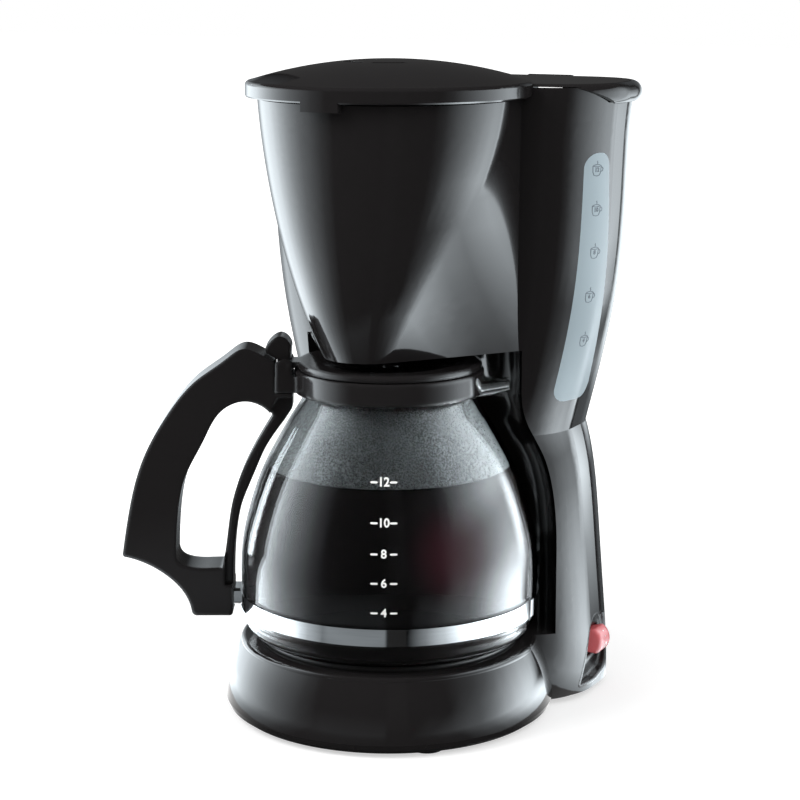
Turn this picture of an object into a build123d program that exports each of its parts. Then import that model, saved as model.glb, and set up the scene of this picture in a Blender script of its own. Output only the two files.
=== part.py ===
from build123d import *
import math
import os

# Drip coffee maker with a glass carafe, as separate moulded, pressed and bought-in pieces.
# Millimetres, +Z up, the front towards -Y. The brew axis runs up through warming plate, carafe,
# filter basket and lid. The origin is on the table under the middle of the whole outline.
BREW_X = 11.08
BREW_Y = -14.1
WALL = 2.6

# Rear tower: a rounded rectangle in plan, narrow at the seam where the two bodies meet.
TOWER_Y = 65.0
TOWER_HALF_DEPTH = 42.0
TOWER_CORNER = 36.0
SEAM_Z = 142.0
BODY_TOP = 313.0
TOWER_TOP = 318.4
LOWER_TOWER = ((4.0, 89.6), (38.0, 88.3), (71.0, 85.4), (106.0, 82.3), (SEAM_Z, 75.4))
UPPER_TOWER = ((SEAM_Z, 75.4), (175.0, 83.6), (205.0, 89.8), (250.0, 94.6), (TOWER_TOP, 99.2))

# Base under the carafe.
SKIRT_Z = 4.0
SKIRT_FOOT_R = 84.8
SKIRT_MID_R = 82.4
SHOULDER_R = 76.7
BASE_TOP = 38.5
BASE_UNDER = BASE_TOP - WALL

# Carafe bay: the hollow in the tower's front that follows the carafe's shoulder.
BAY_R = 86.0
BAY_NECK_R = 67.0

# Brew housing: stations of height, nose radius and how far the nose's centre stands in front.
HOUSING_FLOOR = 187.0
HOUSING_JOIN = (61.0, 25.0)
HOUSING = (
    (HOUSING_FLOOR, 22.0, 22.7),
    (222.0, 39.1, 16.7),
    (247.0, 49.0, 11.0),
    (287.0, 60.9, 2.6),
    (BODY_TOP, 65.0, 0.0),
)
DRIP_HOLE_R = 13.0
WELL_R = 59.6

# Lid and its rear hinge. The deck lies on the tower and rolls over its two sides.
DECK_HALF_WIDTH = 103.6
DECK_CORNER = 38.0
DECK_Z = 318.8
DECK_TOP = 320.2
ROLL_Z = 309.8
LID_Z = 314.0
LID_R = 71.0
LID_RIM = 6.0
LID_TOP = 332.0
LID_WALL = 2.4
HINGE_Y = 107.0
HINGE_Z = 317.0
HINGE_X = 40.0
KNUCKLE_R = 3.4
KNUCKLE_LENGTH = 16.0
PIN_R = 1.5
RUN = 0.05

# Water path.
HOSE_X = 24.0
HOSE_Y = 95.0
TUBE_R = 4.5
TUBE_BORE = 3.3
HOSE_R = 6.2
HOSE_BORE = 4.6
HEATER_Z = 29.0
HEATER_END_Y = 78.0
TANK_FLOOR = 150.0
RISER_TOP_Y = 68.0
RISER_RUN_Z = 298.0
RISER_END_Z = 310.0
TRAY_RUN = math.hypot(HOSE_X, RISER_TOP_Y)
TRAY_TURN = math.degrees(math.atan2(RISER_TOP_Y, HOSE_X))

# Warming plate.
PLATE_R = 66.5
PLATE_SEAT_R = 62.0
PLATE_TOP = 40.6
PLATE_UNDER = 39.3
PAD_UNDER = 33.6

# Carafe: the handle points away from the brew axis at this turn from +X.
HANDLE_TURN = 207.5
CARAFE_Z = 41.0
GLASS = 2.4
GLASS_WALL = (
    (76.2, 64.0),
    (75.4, 87.0),
    (70.8, 108.0),
    (64.9, 125.0),
    (54.6, 144.8),
    (48.5, 155.0),
    (42.6, 165.4),
)
GLASS_LIP_Z = 176.0
BAND_Z = 54.6
BAND_HIGH = 8.6
BAND_THICK = 0.7
GRIP_WIDTH = 22.0
STRAP_WIDTH = 15.0
LID_PIN_OUT = 52.0
LID_PIN_Z = 180.5

# Switch on the right side of the lower tower.
SWITCH_Y = 71.0
SWITCH_Z = 26.0
SWITCH_FLOOR = 84.4
ROCKER_WIDE = 13.0
ROCKER_HIGH = 14.0
ROCKER_SWING = 1.8
SCOOP = ((45.0, 6.6), (57.0, 38.0), (64.0, 42.4), (80.0, 41.0), (85.6, 28.0), (80.0, 10.0), (64.0, 6.6))
SCOOP_ROUND = (1.6, 6.0, 6.0, 6.0, 8.0, 8.0, 8.0)

# Drip valve under the basket.
BASKET_FLOOR = 197.0
BASKET_TOP = 302.0
VALVE_BORE = 6.2
SPRING_R = 4.4
SPRING_WIRE = 0.4
SPRING_TURNS = 5
SPRING_Z = (186.5, 196.5)

os.makedirs("parts", exist_ok=True)

BREW_AXIS = Axis((BREW_X, BREW_Y, 0), (0, 0, 1))
# Upright plane through the brew axis: x is the radius, y the height.
ROUND = Plane((BREW_X, BREW_Y, 0), x_dir=(1, 0, 0), z_dir=(0, -1, 0))
# Upright plane that looks along X: x runs to the rear, y is the height.
SIDE = Plane((BREW_X, BREW_Y, 0), x_dir=(0, 1, 0), z_dir=(1, 0, 0))
HANDLE_X = math.cos(math.radians(HANDLE_TURN))
HANDLE_Y = math.sin(math.radians(HANDLE_TURN))
# Upright plane through the handle: x runs out along the handle, y is the height.
HANDLE_SIDE = Plane((BREW_X, BREW_Y, 0), x_dir=(HANDLE_X, HANDLE_Y, 0), z_dir=(HANDLE_Y, -HANDLE_X, 0))


def level(height):
    """Level plane centred on the brew axis."""
    return Plane((BREW_X, BREW_Y, height))


def carafe_level(height):
    """Level plane centred on the brew axis, with x along the handle."""
    return Plane((BREW_X, BREW_Y, height), x_dir=(HANDLE_X, HANDLE_Y, 0), z_dir=(0, 0, 1))


def at_brew(x, y, z):
    """A place given from the brew axis, in the object's frame."""
    return (BREW_X + x, BREW_Y + y, z)


def write(piece, node):
    """Label a finished piece and write it to its file."""
    piece.label = node
    export_step(piece, f"parts/{node}.step")


def tower_block(stations, inset):
    """Solid tower through rounded rectangles, its walls moved in by inset."""
    with BuildPart() as block:
        for height, half_width in stations:
            with BuildSketch(level(height)):
                with Locations((0, TOWER_Y)):
                    wide = 2 * (half_width - inset)
                    deep = 2 * (TOWER_HALF_DEPTH - inset)
                    RectangleRounded(wide, deep, TOWER_CORNER - inset)
        loft()
    return block.part


def housing_block(inset, join):
    """Solid brew housing: a round nose at each station, with straight cheeks back to the tower."""
    with BuildPart() as block:
        for height, nose_radius, nose_out in HOUSING:
            radius = nose_radius - inset
            run = math.hypot(join[0], join[1] + nose_out)
            turn = math.atan2(join[1] + nose_out, join[0]) - math.acos(radius / run)
            cheek = (radius * math.cos(turn), radius * math.sin(turn) - nose_out)
            with BuildSketch(level(height)):
                with BuildLine():
                    Line(join, cheek)
                    ThreePointArc(cheek, (0, -nose_out - radius), (-cheek[0], cheek[1]))
                    Line((-cheek[0], cheek[1]), (-join[0], join[1]))
                    Line((-join[0], join[1]), join)
                make_face()
        loft()
    return block.part


def bay_block(grow, floor, top):
    """Solid of the carafe bay, its wall moved out by grow."""
    neck = BAY_NECK_R + grow
    wide = BAY_R + grow
    with BuildPart() as block:
        with BuildSketch(ROUND):
            with BuildLine():
                Polyline((wide, 80), (wide, floor), (0, floor), (0, top), (neck, top), (neck, 165))
                Spline(
                    (neck, 165), (79 + grow, 131), (84.5 + grow, 108), (wide, 80),
                    tangents=((0, -1), (0, -1)),
                )
            make_face()
        revolve(axis=BREW_AXIS)
    return block.part


def well_block(grow):
    """Solid of the round well that the filter basket hangs in, its wall moved out by grow."""
    foot = HOUSING_FLOOR + WALL - grow
    with BuildPart() as block:
        with BuildSketch(ROUND):
            Polygon(
                (0, foot), (26 + grow, foot), (26 + grow, 197), (WELL_R + grow, 296),
                (WELL_R + grow, TOWER_TOP + 1), (0, TOWER_TOP + 1), align=None,
            )
        revolve(axis=BREW_AXIS)
    return block.part


def chamber_hollow():
    """Solid of the room inside the brew housing, open at the rear."""
    with BuildPart() as block:
        add(housing_block(WALL, (HOUSING_JOIN[0] - 2.4, HOUSING_JOIN[1] - 1)))
        split(bisect_by=level(HOUSING_FLOOR + WALL), keep=Keep.TOP)
        add(well_block(0))
    return block.part


def keep_between(piece, low, high):
    """The slice of a piece between two heights."""
    with BuildPart() as cut:
        add(piece)
        split(bisect_by=level(low), keep=Keep.TOP)
        split(bisect_by=level(high), keep=Keep.BOTTOM)
    return cut.part


def inset_path(points, amount):
    """Points moved square to their path, to its left, by amount."""
    moved = []
    for place, (x, y) in enumerate(points):
        before = points[max(place - 1, 0)]
        after = points[min(place + 1, len(points) - 1)]
        run = math.hypot(after[0] - before[0], after[1] - before[1])
        moved.append((x - amount * (after[1] - before[1]) / run, y + amount * (after[0] - before[0]) / run))
    return moved


def pipe(points, radius, outer, bore):
    """Tube along straight runs joined by arcs."""
    with BuildPart() as tube:
        with BuildLine() as route:
            FilletPolyline(*points, radius=radius)
        with BuildSketch(Plane(route.line @ 0, z_dir=route.line % 0)):
            Circle(outer)
            Circle(bore, mode=Mode.SUBTRACT)
        sweep()
    return tube.part


def scoop_prism(inset, start):
    """Leaf-shaped prism of the switch's recess, from start outwards to the right."""
    with BuildPart() as prism:
        with BuildSketch(SIDE.offset(start)):
            with BuildLine():
                FilletPolyline(*SCOOP, radius=SCOOP_ROUND, close=True)
            make_face()
            if inset:
                offset(amount=-inset, mode=Mode.REPLACE)
        extrude(amount=20)
    return prism.part


# Lower body: the base and the lower tower in one moulding, open underneath.
PLATE_SCREWS = ((50.0, -40.0), (-50.0, -40.0), (58.0, 60.0), (-58.0, 60.0))
BODY_SCREWS = ((50.0, 88.0), (-50.0, 88.0))
CORD_HOLE = (-48.0, 20.0)
CORD_HOLE_R = 6.0
WEB_Z = 136.5

with BuildPart() as lower_hollow:
    add(tower_block(LOWER_TOWER, WALL))
    add(bay_block(WALL, BASE_UNDER, HOUSING_FLOOR), mode=Mode.SUBTRACT)
    with BuildSketch(ROUND):
        with BuildLine():
            foot = SKIRT_FOOT_R - WALL
            Polyline((SHOULDER_R - 4, BASE_UNDER), (0, BASE_UNDER), (0, SKIRT_Z), (foot, SKIRT_Z))
            ThreePointArc((foot, SKIRT_Z), (SKIRT_MID_R - WALL, 21), (SHOULDER_R - 4, BASE_UNDER))
        make_face()
    revolve(axis=BREW_AXIS)

with BuildPart() as seam_web:
    add(keep_between(tower_block(LOWER_TOWER, 1.0), WEB_Z, WEB_Z + WALL))
    add(bay_block(1.0, BASE_UNDER, HOUSING_FLOOR), mode=Mode.SUBTRACT)
    with BuildSketch(level(WEB_Z)):
        with Locations((HOSE_X, HOSE_Y), (-HOSE_X, HOSE_Y)):
            Circle(HOSE_R + 0.8)
        with Locations(*BODY_SCREWS):
            Circle(1.8)
    extrude(amount=WALL, mode=Mode.SUBTRACT)

with BuildPart() as lower_body:
    add(tower_block(LOWER_TOWER, 0))
    with BuildSketch(ROUND):
        with BuildLine():
            Line((SKIRT_FOOT_R, 7), (SKIRT_FOOT_R - 1.2, SKIRT_Z))
            Polyline((SKIRT_FOOT_R - 1.2, SKIRT_Z), (0, SKIRT_Z), (0, BASE_TOP))
            Line((0, BASE_TOP), (SHOULDER_R - 2.2, BASE_TOP))
            ThreePointArc((SHOULDER_R - 2.2, BASE_TOP), (SHOULDER_R - 0.6, 37.8), (SHOULDER_R, 36.2))
            ThreePointArc((SHOULDER_R, 36.2), (SKIRT_MID_R, 21), (SKIRT_FOOT_R, 7))
        make_face()
    revolve(axis=BREW_AXIS)
    add(bay_block(0, BASE_TOP, HOUSING_FLOOR), mode=Mode.SUBTRACT)
    add(lower_hollow.part, mode=Mode.SUBTRACT)
    add(seam_web.part)
    # Opening for the warming plate, screw bosses, and the holes for the switch and the cord.
    with BuildSketch(level(BASE_UNDER)):
        Circle(PLATE_SEAT_R + 0.6)
    extrude(amount=WALL, mode=Mode.SUBTRACT)
    with BuildSketch(level(4.4)):
        with Locations(*PLATE_SCREWS):
            Circle(4.6)
    extrude(amount=BASE_UNDER - 4.4)
    with BuildSketch(level(4.4)):
        with Locations(*PLATE_SCREWS):
            Circle(1.6)
    extrude(amount=14, mode=Mode.SUBTRACT)
    add(scoop_prism(0, 79.5), mode=Mode.SUBTRACT)
    with BuildSketch(Plane(at_brew(0, TOWER_Y, 0), x_dir=(1, 0, 0), z_dir=(0, -1, 0))):
        with Locations(CORD_HOLE):
            Circle(CORD_HOLE_R)
    extrude(amount=-60, mode=Mode.SUBTRACT)
write(lower_body.part, "lower_body")

# Bottom plate with its foot band, counterbored for the screws, slotted for air.
PLATE_BOTTOM = 1.4
PLATE_THICK = 3.0
with BuildPart() as bottom_plate:
    with BuildSketch(level(PLATE_BOTTOM)):
        Circle(80)
        with Locations((0, TOWER_Y)):
            RectangleRounded(2 * 84.0, 2 * 38.0, 32)
    extrude(amount=PLATE_THICK)
    with BuildSketch(level(PLATE_BOTTOM)):
        with PolarLocations(30, 6):
            SlotOverall(22, 3.2)
    extrude(amount=PLATE_THICK, mode=Mode.SUBTRACT)
    for x, y in PLATE_SCREWS:
        with Locations(Location(at_brew(x, y, PLATE_BOTTOM), (180, 0, 0))):
            CounterBoreHole(1.8, 3.6, 1.7, depth=PLATE_THICK)
write(bottom_plate.part, "bottom_plate")

with BuildPart() as rubber_feet:
    with BuildSketch(level(0)):
        with Locations((48, -52), (-48, -52), (66, 80), (-66, 80)):
            Circle(8)
    extrude(amount=PLATE_BOTTOM)
write(rubber_feet.part, "rubber_feet")

with BuildPart() as plate_screws:
    with BuildSketch(level(1.5)):
        with Locations(*PLATE_SCREWS):
            Circle(3.3)
    extrude(amount=1.5)
    with BuildSketch(level(3.0)):
        with Locations(*PLATE_SCREWS):
            Circle(1.6)
    extrude(amount=13)
write(plate_screws.part, "plate_screws")

# Warming plate: a flat disc with a turned-down seat and a raised bed for the heater's U.
with BuildPart() as warming_plate:
    with BuildSketch(ROUND):
        with BuildLine():
            Polyline((0, 38), (PLATE_SEAT_R, 38), (PLATE_SEAT_R, PLATE_UNDER), (PLATE_R, PLATE_UNDER))
            crown = (PLATE_R - 0.3, PLATE_TOP - 0.4)
            ThreePointArc((PLATE_R, PLATE_UNDER), crown, (PLATE_R - 1.2, PLATE_TOP))
            Polyline((PLATE_R - 1.2, PLATE_TOP), (0, PLATE_TOP), (0, 38))
        make_face()
    revolve(axis=BREW_AXIS)
    with BuildSketch(level(PAD_UNDER)):
        Circle(30)
        with Locations((0, 25)):
            Rectangle(60, 50)
        Circle(10.4, mode=Mode.SUBTRACT)
        with Locations((0, 30)):
            Rectangle(20.8, 60, mode=Mode.SUBTRACT)
    extrude(amount=38 - PAD_UNDER)
write(warming_plate.part, "warming_plate")

with BuildPart() as plate_gasket:
    with BuildSketch(level(BASE_TOP)):
        Circle(PLATE_R - 0.4)
        Circle(PLATE_SEAT_R + 0.1, mode=Mode.SUBTRACT)
    extrude(amount=PLATE_UNDER - BASE_TOP)
write(plate_gasket.part, "plate_gasket")

# Heater: an aluminium water tube bent to a U, with the heating rod inside the bend.
with BuildPart() as heater_tube:
    with BuildLine(level(HEATER_Z)) as heater_route:
        Line((HOSE_X, HEATER_END_Y), (HOSE_X, 0))
        ThreePointArc((HOSE_X, 0), (0, -HOSE_X), (-HOSE_X, 0))
        Line((-HOSE_X, 0), (-HOSE_X, HEATER_END_Y))
    with BuildSketch(Plane(heater_route.line @ 0, z_dir=heater_route.line % 0)):
        Circle(TUBE_R)
        Circle(TUBE_BORE, mode=Mode.SUBTRACT)
    sweep()
write(heater_tube.part, "heater_tube")

ROD_R = 3.6
ROD_X = HOSE_X - TUBE_R - ROD_R - 0.2
ROD_Z = PAD_UNDER - ROD_R - 0.1
with BuildPart() as heating_rod:
    with BuildLine(level(ROD_Z)) as rod_route:
        Line((ROD_X, 60), (ROD_X, 0))
        ThreePointArc((ROD_X, 0), (0, -ROD_X), (-ROD_X, 0))
        Line((-ROD_X, 0), (-ROD_X, 60))
    with BuildSketch(Plane(rod_route.line @ 0, z_dir=rod_route.line % 0)):
        Circle(ROD_R)
    sweep()
    with BuildSketch(Plane(at_brew(0, 60, ROD_Z), x_dir=(1, 0, 0), z_dir=(0, 1, 0))):
        with Locations((ROD_X, 0), (-ROD_X, 0)):
            Circle(1.4)
    extrude(amount=9)
write(heating_rod.part, "heating_rod")

with BuildPart() as heater_clamp:
    with BuildSketch(level(22.2)):
        with Locations((0, 30)):
            SlotOverall(70, 13)
            Circle(2.3, mode=Mode.SUBTRACT)
    extrude(amount=2)
write(heater_clamp.part, "heater_clamp")

with BuildPart() as clamp_screw:
    with BuildSketch(level(19.8)):
        with Locations((0, 30)):
            RegularPolygon(4.2, 6)
    extrude(amount=2.4)
    with BuildSketch(level(22.2)):
        with Locations((0, 30)):
            Circle(2.1)
    extrude(amount=38 - 22.2)
write(clamp_screw.part, "clamp_screw")

with BuildPart() as thermostat:
    with BuildSketch(level(36)):
        with Locations((0, -45)):
            SlotOverall(30, 12)
    extrude(amount=2)
    with BuildSketch(level(27)):
        with Locations((0, -45)):
            Circle(8)
    extrude(amount=9)
    with BuildSketch(level(19)):
        with Locations((-4, -45), (4, -45)):
            Rectangle(0.9, 6.3)
    extrude(amount=8)
write(thermostat.part, "thermostat")

with BuildPart() as thermal_fuses:
    with BuildSketch(Plane(at_brew(0, 0, 34.6), x_dir=(1, 0, 0), z_dir=(0, 1, 0))):
        with Locations((40, 0), (-40, 0)):
            Circle(2.6)
    extrude(amount=12, both=True)
    with BuildSketch(Plane(at_brew(0, 0, 34.6), x_dir=(1, 0, 0), z_dir=(0, 1, 0))):
        with Locations((40, 0), (-40, 0)):
            Circle(0.7)
    extrude(amount=20, both=True)
write(thermal_fuses.part, "thermal_fuses")

# Hoses from the heater up into the tower, with their clips, and the one-way valve in the inlet.
for side, node in ((-1, "inlet_hose"), (1, "riser_hose")):
    hose_points = (
        at_brew(side * HOSE_X, HEATER_END_Y - 8, HEATER_Z),
        at_brew(side * HOSE_X, HOSE_Y, HEATER_Z),
        at_brew(side * HOSE_X, HOSE_Y, TANK_FLOOR - 2),
    )
    write(pipe(hose_points, 10, HOSE_R, HOSE_BORE), node)

with BuildPart() as hose_clips:
    for x in (HOSE_X, -HOSE_X):
        with BuildSketch(Plane(at_brew(x, HEATER_END_Y - 5, HEATER_Z), x_dir=(1, 0, 0), z_dir=(0, 1, 0))):
            Circle(HOSE_R + 0.5)
            Circle(HOSE_R, mode=Mode.SUBTRACT)
        extrude(amount=4)
        with BuildSketch(level(TANK_FLOOR - 8)):
            with Locations((x, HOSE_Y)):
                Circle(HOSE_R + 0.6)
                Circle(HOSE_R, mode=Mode.SUBTRACT)
        extrude(amount=4)
write(hose_clips.part, "hose_clips")

with BuildPart() as one_way_valve:
    with BuildSketch(level(100)):
        with Locations((-HOSE_X, HOSE_Y)):
            Circle(HOSE_BORE)
            Circle(3.4, mode=Mode.SUBTRACT)
    extrude(amount=9)
    with BuildSketch(level(98.6)):
        with Locations((-HOSE_X, HOSE_Y)):
            Circle(3.9)
    extrude(amount=1.4)
write(one_way_valve.part, "one_way_valve")

# Riser: up the back of the tank, forward under the lid, then up to the shower head's inlet.
riser_points = (
    at_brew(HOSE_X, HOSE_Y, TANK_FLOOR - 12),
    at_brew(HOSE_X, HOSE_Y, RISER_RUN_Z),
    at_brew(HOSE_X, RISER_TOP_Y, RISER_RUN_Z),
    at_brew(HOSE_X, RISER_TOP_Y, RISER_END_Z),
)
write(pipe(riser_points, (14, 7), TUBE_R, TUBE_BORE), "riser_tube")

# Window in the tank's right cheek: straight at the front, slanting at the rear, wider at the foot.
WINDOW = ((37.8, 286.0), (53.6, 286.0), (67.0, 159.0), (37.8, 159.0))
with BuildPart() as window_prism:
    with BuildSketch(SIDE.offset(55)):
        with BuildLine():
            FilletPolyline(*WINDOW, radius=7.4, close=True)
        make_face()
    extrude(amount=60)

with BuildPart() as water_window:
    add(tower_block(UPPER_TOWER, 0))
    add(tower_block(UPPER_TOWER, WALL), mode=Mode.SUBTRACT)
    add(window_prism.part, mode=Mode.INTERSECT)
write(water_window.part, "water_window")

# Upper body: the tank in the upper tower, open on top under the lid.
with BuildPart() as tank_hollow:
    add(keep_between(tower_block(UPPER_TOWER, WALL), TANK_FLOOR + WALL, TOWER_TOP))
    add(keep_between(tower_block(UPPER_TOWER, WALL), SEAM_Z, TANK_FLOOR))
    add(bay_block(WALL, BASE_UNDER, HOUSING_FLOOR + WALL), mode=Mode.SUBTRACT)
    add(well_block(WALL), mode=Mode.SUBTRACT)

LEDGE_Z = 296.8
TOWER_FRONT = TOWER_Y - TOWER_HALF_DEPTH
EAR_THICK = 4.0
EAR_GAP = 0.4
with BuildPart() as upper_body:
    add(tower_block(UPPER_TOWER, 0))
    add(bay_block(0, BASE_UNDER, HOUSING_FLOOR), mode=Mode.SUBTRACT)
    add(tank_hollow.part, mode=Mode.SUBTRACT)
    add(well_block(0), mode=Mode.SUBTRACT)
    add(window_prism.part, mode=Mode.SUBTRACT)
    # Ledge that the basket's flange hangs on.
    with BuildSketch(level(LEDGE_Z)):
        Circle(WELL_R + 1)
        Circle(WELL_R - 3, mode=Mode.SUBTRACT)
        with Locations((0, TOWER_FRONT + 50)):
            Rectangle(200, 100, mode=Mode.INTERSECT)
    extrude(amount=2.4)
    # The tank's outlet with its nipple, the riser's hole and the shower head's notch.
    with BuildSketch(level(TANK_FLOOR - 12)):
        with Locations((-HOSE_X, HOSE_Y)):
            Circle(TUBE_R)
    extrude(amount=12)
    with BuildSketch(level(TANK_FLOOR - 12)):
        with Locations((-HOSE_X, HOSE_Y)):
            Circle(TUBE_BORE)
        with Locations((HOSE_X, HOSE_Y)):
            Circle(TUBE_R)
    extrude(amount=12 + WALL, mode=Mode.SUBTRACT)
    with BuildSketch(level(BODY_TOP - 3)):
        with Locations((HOSE_X / 2, RISER_TOP_Y / 2)):
            SlotCenterToCenter(TRAY_RUN, 20, rotation=TRAY_TURN)
    extrude(amount=TOWER_TOP - BODY_TOP + 4, mode=Mode.SUBTRACT)
    # Bosses for the screws that join the two bodies.
    with BuildSketch(level(SEAM_Z)):
        with Locations(*BODY_SCREWS):
            Circle(4.4)
    extrude(amount=TANK_FLOOR - SEAM_Z)
    with BuildSketch(level(SEAM_Z - 1)):
        with Locations(*BODY_SCREWS):
            Circle(1.6)
    extrude(amount=TANK_FLOOR - SEAM_Z, mode=Mode.SUBTRACT)
    # Hinge ears on gussets, two to each knuckle of the lid, with the wall cut down between them.
    with BuildSketch(level(BODY_TOP)):
        with Locations((HINGE_X, HINGE_Y), (-HINGE_X, HINGE_Y)):
            Rectangle(KNUCKLE_LENGTH + 2 * EAR_GAP, 16)
    extrude(amount=TOWER_TOP - BODY_TOP + 1, mode=Mode.SUBTRACT)
    for x in (HINGE_X, -HINGE_X):
        for side in (1, -1):
            reach = side * (KNUCKLE_LENGTH / 2 + EAR_GAP + EAR_THICK / 2)
            with BuildSketch(SIDE.offset(x + reach)):
                with Locations((HINGE_Y, HINGE_Z)):
                    Circle(KNUCKLE_R)
                Polygon(
                    (HINGE_Y - KNUCKLE_R, HINGE_Z),
                    (HINGE_Y - KNUCKLE_R, HINGE_Z - 9),
                    (HINGE_Y - 1, HINGE_Z - 14),
                    (HINGE_Y + KNUCKLE_R, HINGE_Z - 4),
                    (HINGE_Y + KNUCKLE_R, HINGE_Z),
                    align=None,
                )
            extrude(amount=EAR_THICK / 2, both=True)
            with BuildSketch(SIDE.offset(x + reach)):
                with Locations((HINGE_Y, HINGE_Z)):
                    Circle(PIN_R)
            extrude(amount=EAR_THICK, both=True, mode=Mode.SUBTRACT)

write(upper_body.part, "upper_body")

# Brew housing: the nose in front of the tank, welded to its front wall, with the drip hole in its floor.
with BuildPart() as brew_housing:
    add(housing_block(0, HOUSING_JOIN))
    add(tower_block(UPPER_TOWER, 0), mode=Mode.SUBTRACT)
    add(chamber_hollow(), mode=Mode.SUBTRACT)
    with BuildSketch(level(LEDGE_Z)):
        Circle(WELL_R + 1)
        Circle(WELL_R - 3, mode=Mode.SUBTRACT)
        with Locations((0, TOWER_FRONT - 100)):
            Rectangle(200, 200, mode=Mode.INTERSECT)
    extrude(amount=2.4)
    with BuildSketch(level(HOUSING_FLOOR)):
        Circle(DRIP_HOLE_R)
    extrude(amount=WALL, mode=Mode.SUBTRACT)
write(brew_housing.part, "brew_housing")

with BuildPart() as body_screws:
    with BuildSketch(level(WEB_Z - 1.8)):
        with Locations(*BODY_SCREWS):
            Circle(3.2)
    extrude(amount=1.8)
    with BuildSketch(level(WEB_Z)):
        with Locations(*BODY_SCREWS):
            Circle(1.6)
    extrude(amount=11)
write(body_screws.part, "body_screws")

with BuildPart() as tank_strainer:
    with BuildSketch(level(TANK_FLOOR + WALL)):
        with Locations((-HOSE_X, HOSE_Y)):
            Circle(7)
    extrude(amount=7)
    with BuildSketch(level(TANK_FLOOR + WALL)):
        with Locations((-HOSE_X, HOSE_Y)):
            Circle(5.8)
    extrude(amount=5.8, mode=Mode.SUBTRACT)
    with BuildSketch(level(TANK_FLOOR + WALL)):
        with Locations((-HOSE_X, HOSE_Y)):
            Rectangle(1.6, 16)
            Rectangle(16, 1.6)
    extrude(amount=4.4, mode=Mode.SUBTRACT)
write(tank_strainer.part, "tank_strainer")

# Switch: a leaf-shaped dish let into the wall, the frame behind its floor with the terminals, and the
# lit rocker on its trunnions.
PIVOT_X = SWITCH_FLOOR - 4.4
FRAME_FACE = SWITCH_FLOOR - 2.0
TRUNNION_R = 1.5
ROCKER_TILT = 6.0
ROCKER_HOLE = (ROCKER_WIDE + 0.8, ROCKER_HIGH + ROCKER_SWING)
with BuildPart() as switch_bezel:
    add(scoop_prism(0, FRAME_FACE))
    add(tower_block(LOWER_TOWER, 0), mode=Mode.INTERSECT)
    add(scoop_prism(1.5, SWITCH_FLOOR), mode=Mode.SUBTRACT)
    with BuildSketch(SIDE.offset(FRAME_FACE)):
        with Locations((SWITCH_Y, SWITCH_Z)):
            Rectangle(*ROCKER_HOLE)
    extrude(amount=2, mode=Mode.SUBTRACT)
write(switch_bezel.part, "switch_bezel")

with BuildPart() as switch_body:
    with BuildSketch(SIDE.offset(FRAME_FACE - 18)):
        with Locations((SWITCH_Y, SWITCH_Z)):
            Rectangle(ROCKER_WIDE + 3.6, ROCKER_HIGH + 4.6)
    extrude(amount=18)
    with BuildSketch(SIDE.offset(FRAME_FACE - 6.4)):
        with Locations((SWITCH_Y, SWITCH_Z)):
            Rectangle(*ROCKER_HOLE)
    extrude(amount=6.4, mode=Mode.SUBTRACT)
    with BuildSketch(SIDE.offset(FRAME_FACE - 26)):
        with Locations((SWITCH_Y, SWITCH_Z)):
            with Locations((-3, -4), (-3, 4), (4, 0)):
                Rectangle(0.8, 4.8)
    extrude(amount=8)
    with BuildSketch(Plane(at_brew(PIVOT_X, SWITCH_Y, SWITCH_Z), x_dir=(1, 0, 0), z_dir=(0, -1, 0))):
        Circle(TRUNNION_R + RUN)
    extrude(amount=ROCKER_WIDE / 2 + 1.4, both=True, mode=Mode.SUBTRACT)
write(switch_body.part, "switch_body")

tilt = math.radians(ROCKER_TILT)
ROCKER_SIDE = Plane(
    at_brew(PIVOT_X, SWITCH_Y, SWITCH_Z), x_dir=(math.cos(tilt), 0, math.sin(tilt)), z_dir=(0, -1, 0)
)
with BuildPart() as switch_rocker:
    with BuildSketch(ROCKER_SIDE):
        with BuildLine():
            Polyline((9.0, 6.6), (-2.0, 4.6), (-2.0, -4.6), (9.0, -6.6))
            ThreePointArc((9.0, -6.6), (12.2, 0), (9.0, 6.6))
        make_face()
    extrude(amount=ROCKER_WIDE / 2 - 0.1, both=True)
    crown = switch_rocker.faces().sort_by(Axis.X)[-1]
    fillet(crown.edges(), 1.6)
    with BuildSketch(ROCKER_SIDE):
        Circle(TRUNNION_R)
    extrude(amount=ROCKER_WIDE / 2 + 1.2, both=True)
write(switch_rocker.part, "switch_rocker")

with BuildPart() as cord_grommet:
    with BuildSketch(Plane(at_brew(0, TOWER_Y + TOWER_HALF_DEPTH, 0), x_dir=(1, 0, 0), z_dir=(0, -1, 0))):
        with Locations(CORD_HOLE):
            Circle(CORD_HOLE_R)
            Circle(3.6, mode=Mode.SUBTRACT)
    extrude(amount=6, both=True)
    with BuildSketch(Plane(at_brew(0, TOWER_Y + TOWER_HALF_DEPTH, 0), x_dir=(1, 0, 0), z_dir=(0, 1, 0))):
        with Locations((CORD_HOLE[0], -CORD_HOLE[1])):
            Circle(CORD_HOLE_R + 2)
            Circle(3.6, mode=Mode.SUBTRACT)
    extrude(amount=1.6)
write(cord_grommet.part, "cord_grommet")

# Lid: a round dome over the basket and a deck over the tank, hollow underneath.
with BuildPart() as tower_room:
    with BuildSketch(level(ROLL_Z - 1)):
        with Locations((0, TOWER_Y)):
            wide = 2 * (UPPER_TOWER[-1][1] + 0.5)
            RectangleRounded(wide, 2 * (TOWER_HALF_DEPTH + 0.5), TOWER_CORNER + 0.5)
    extrude(amount=DECK_Z - ROLL_Z + 1)

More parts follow.
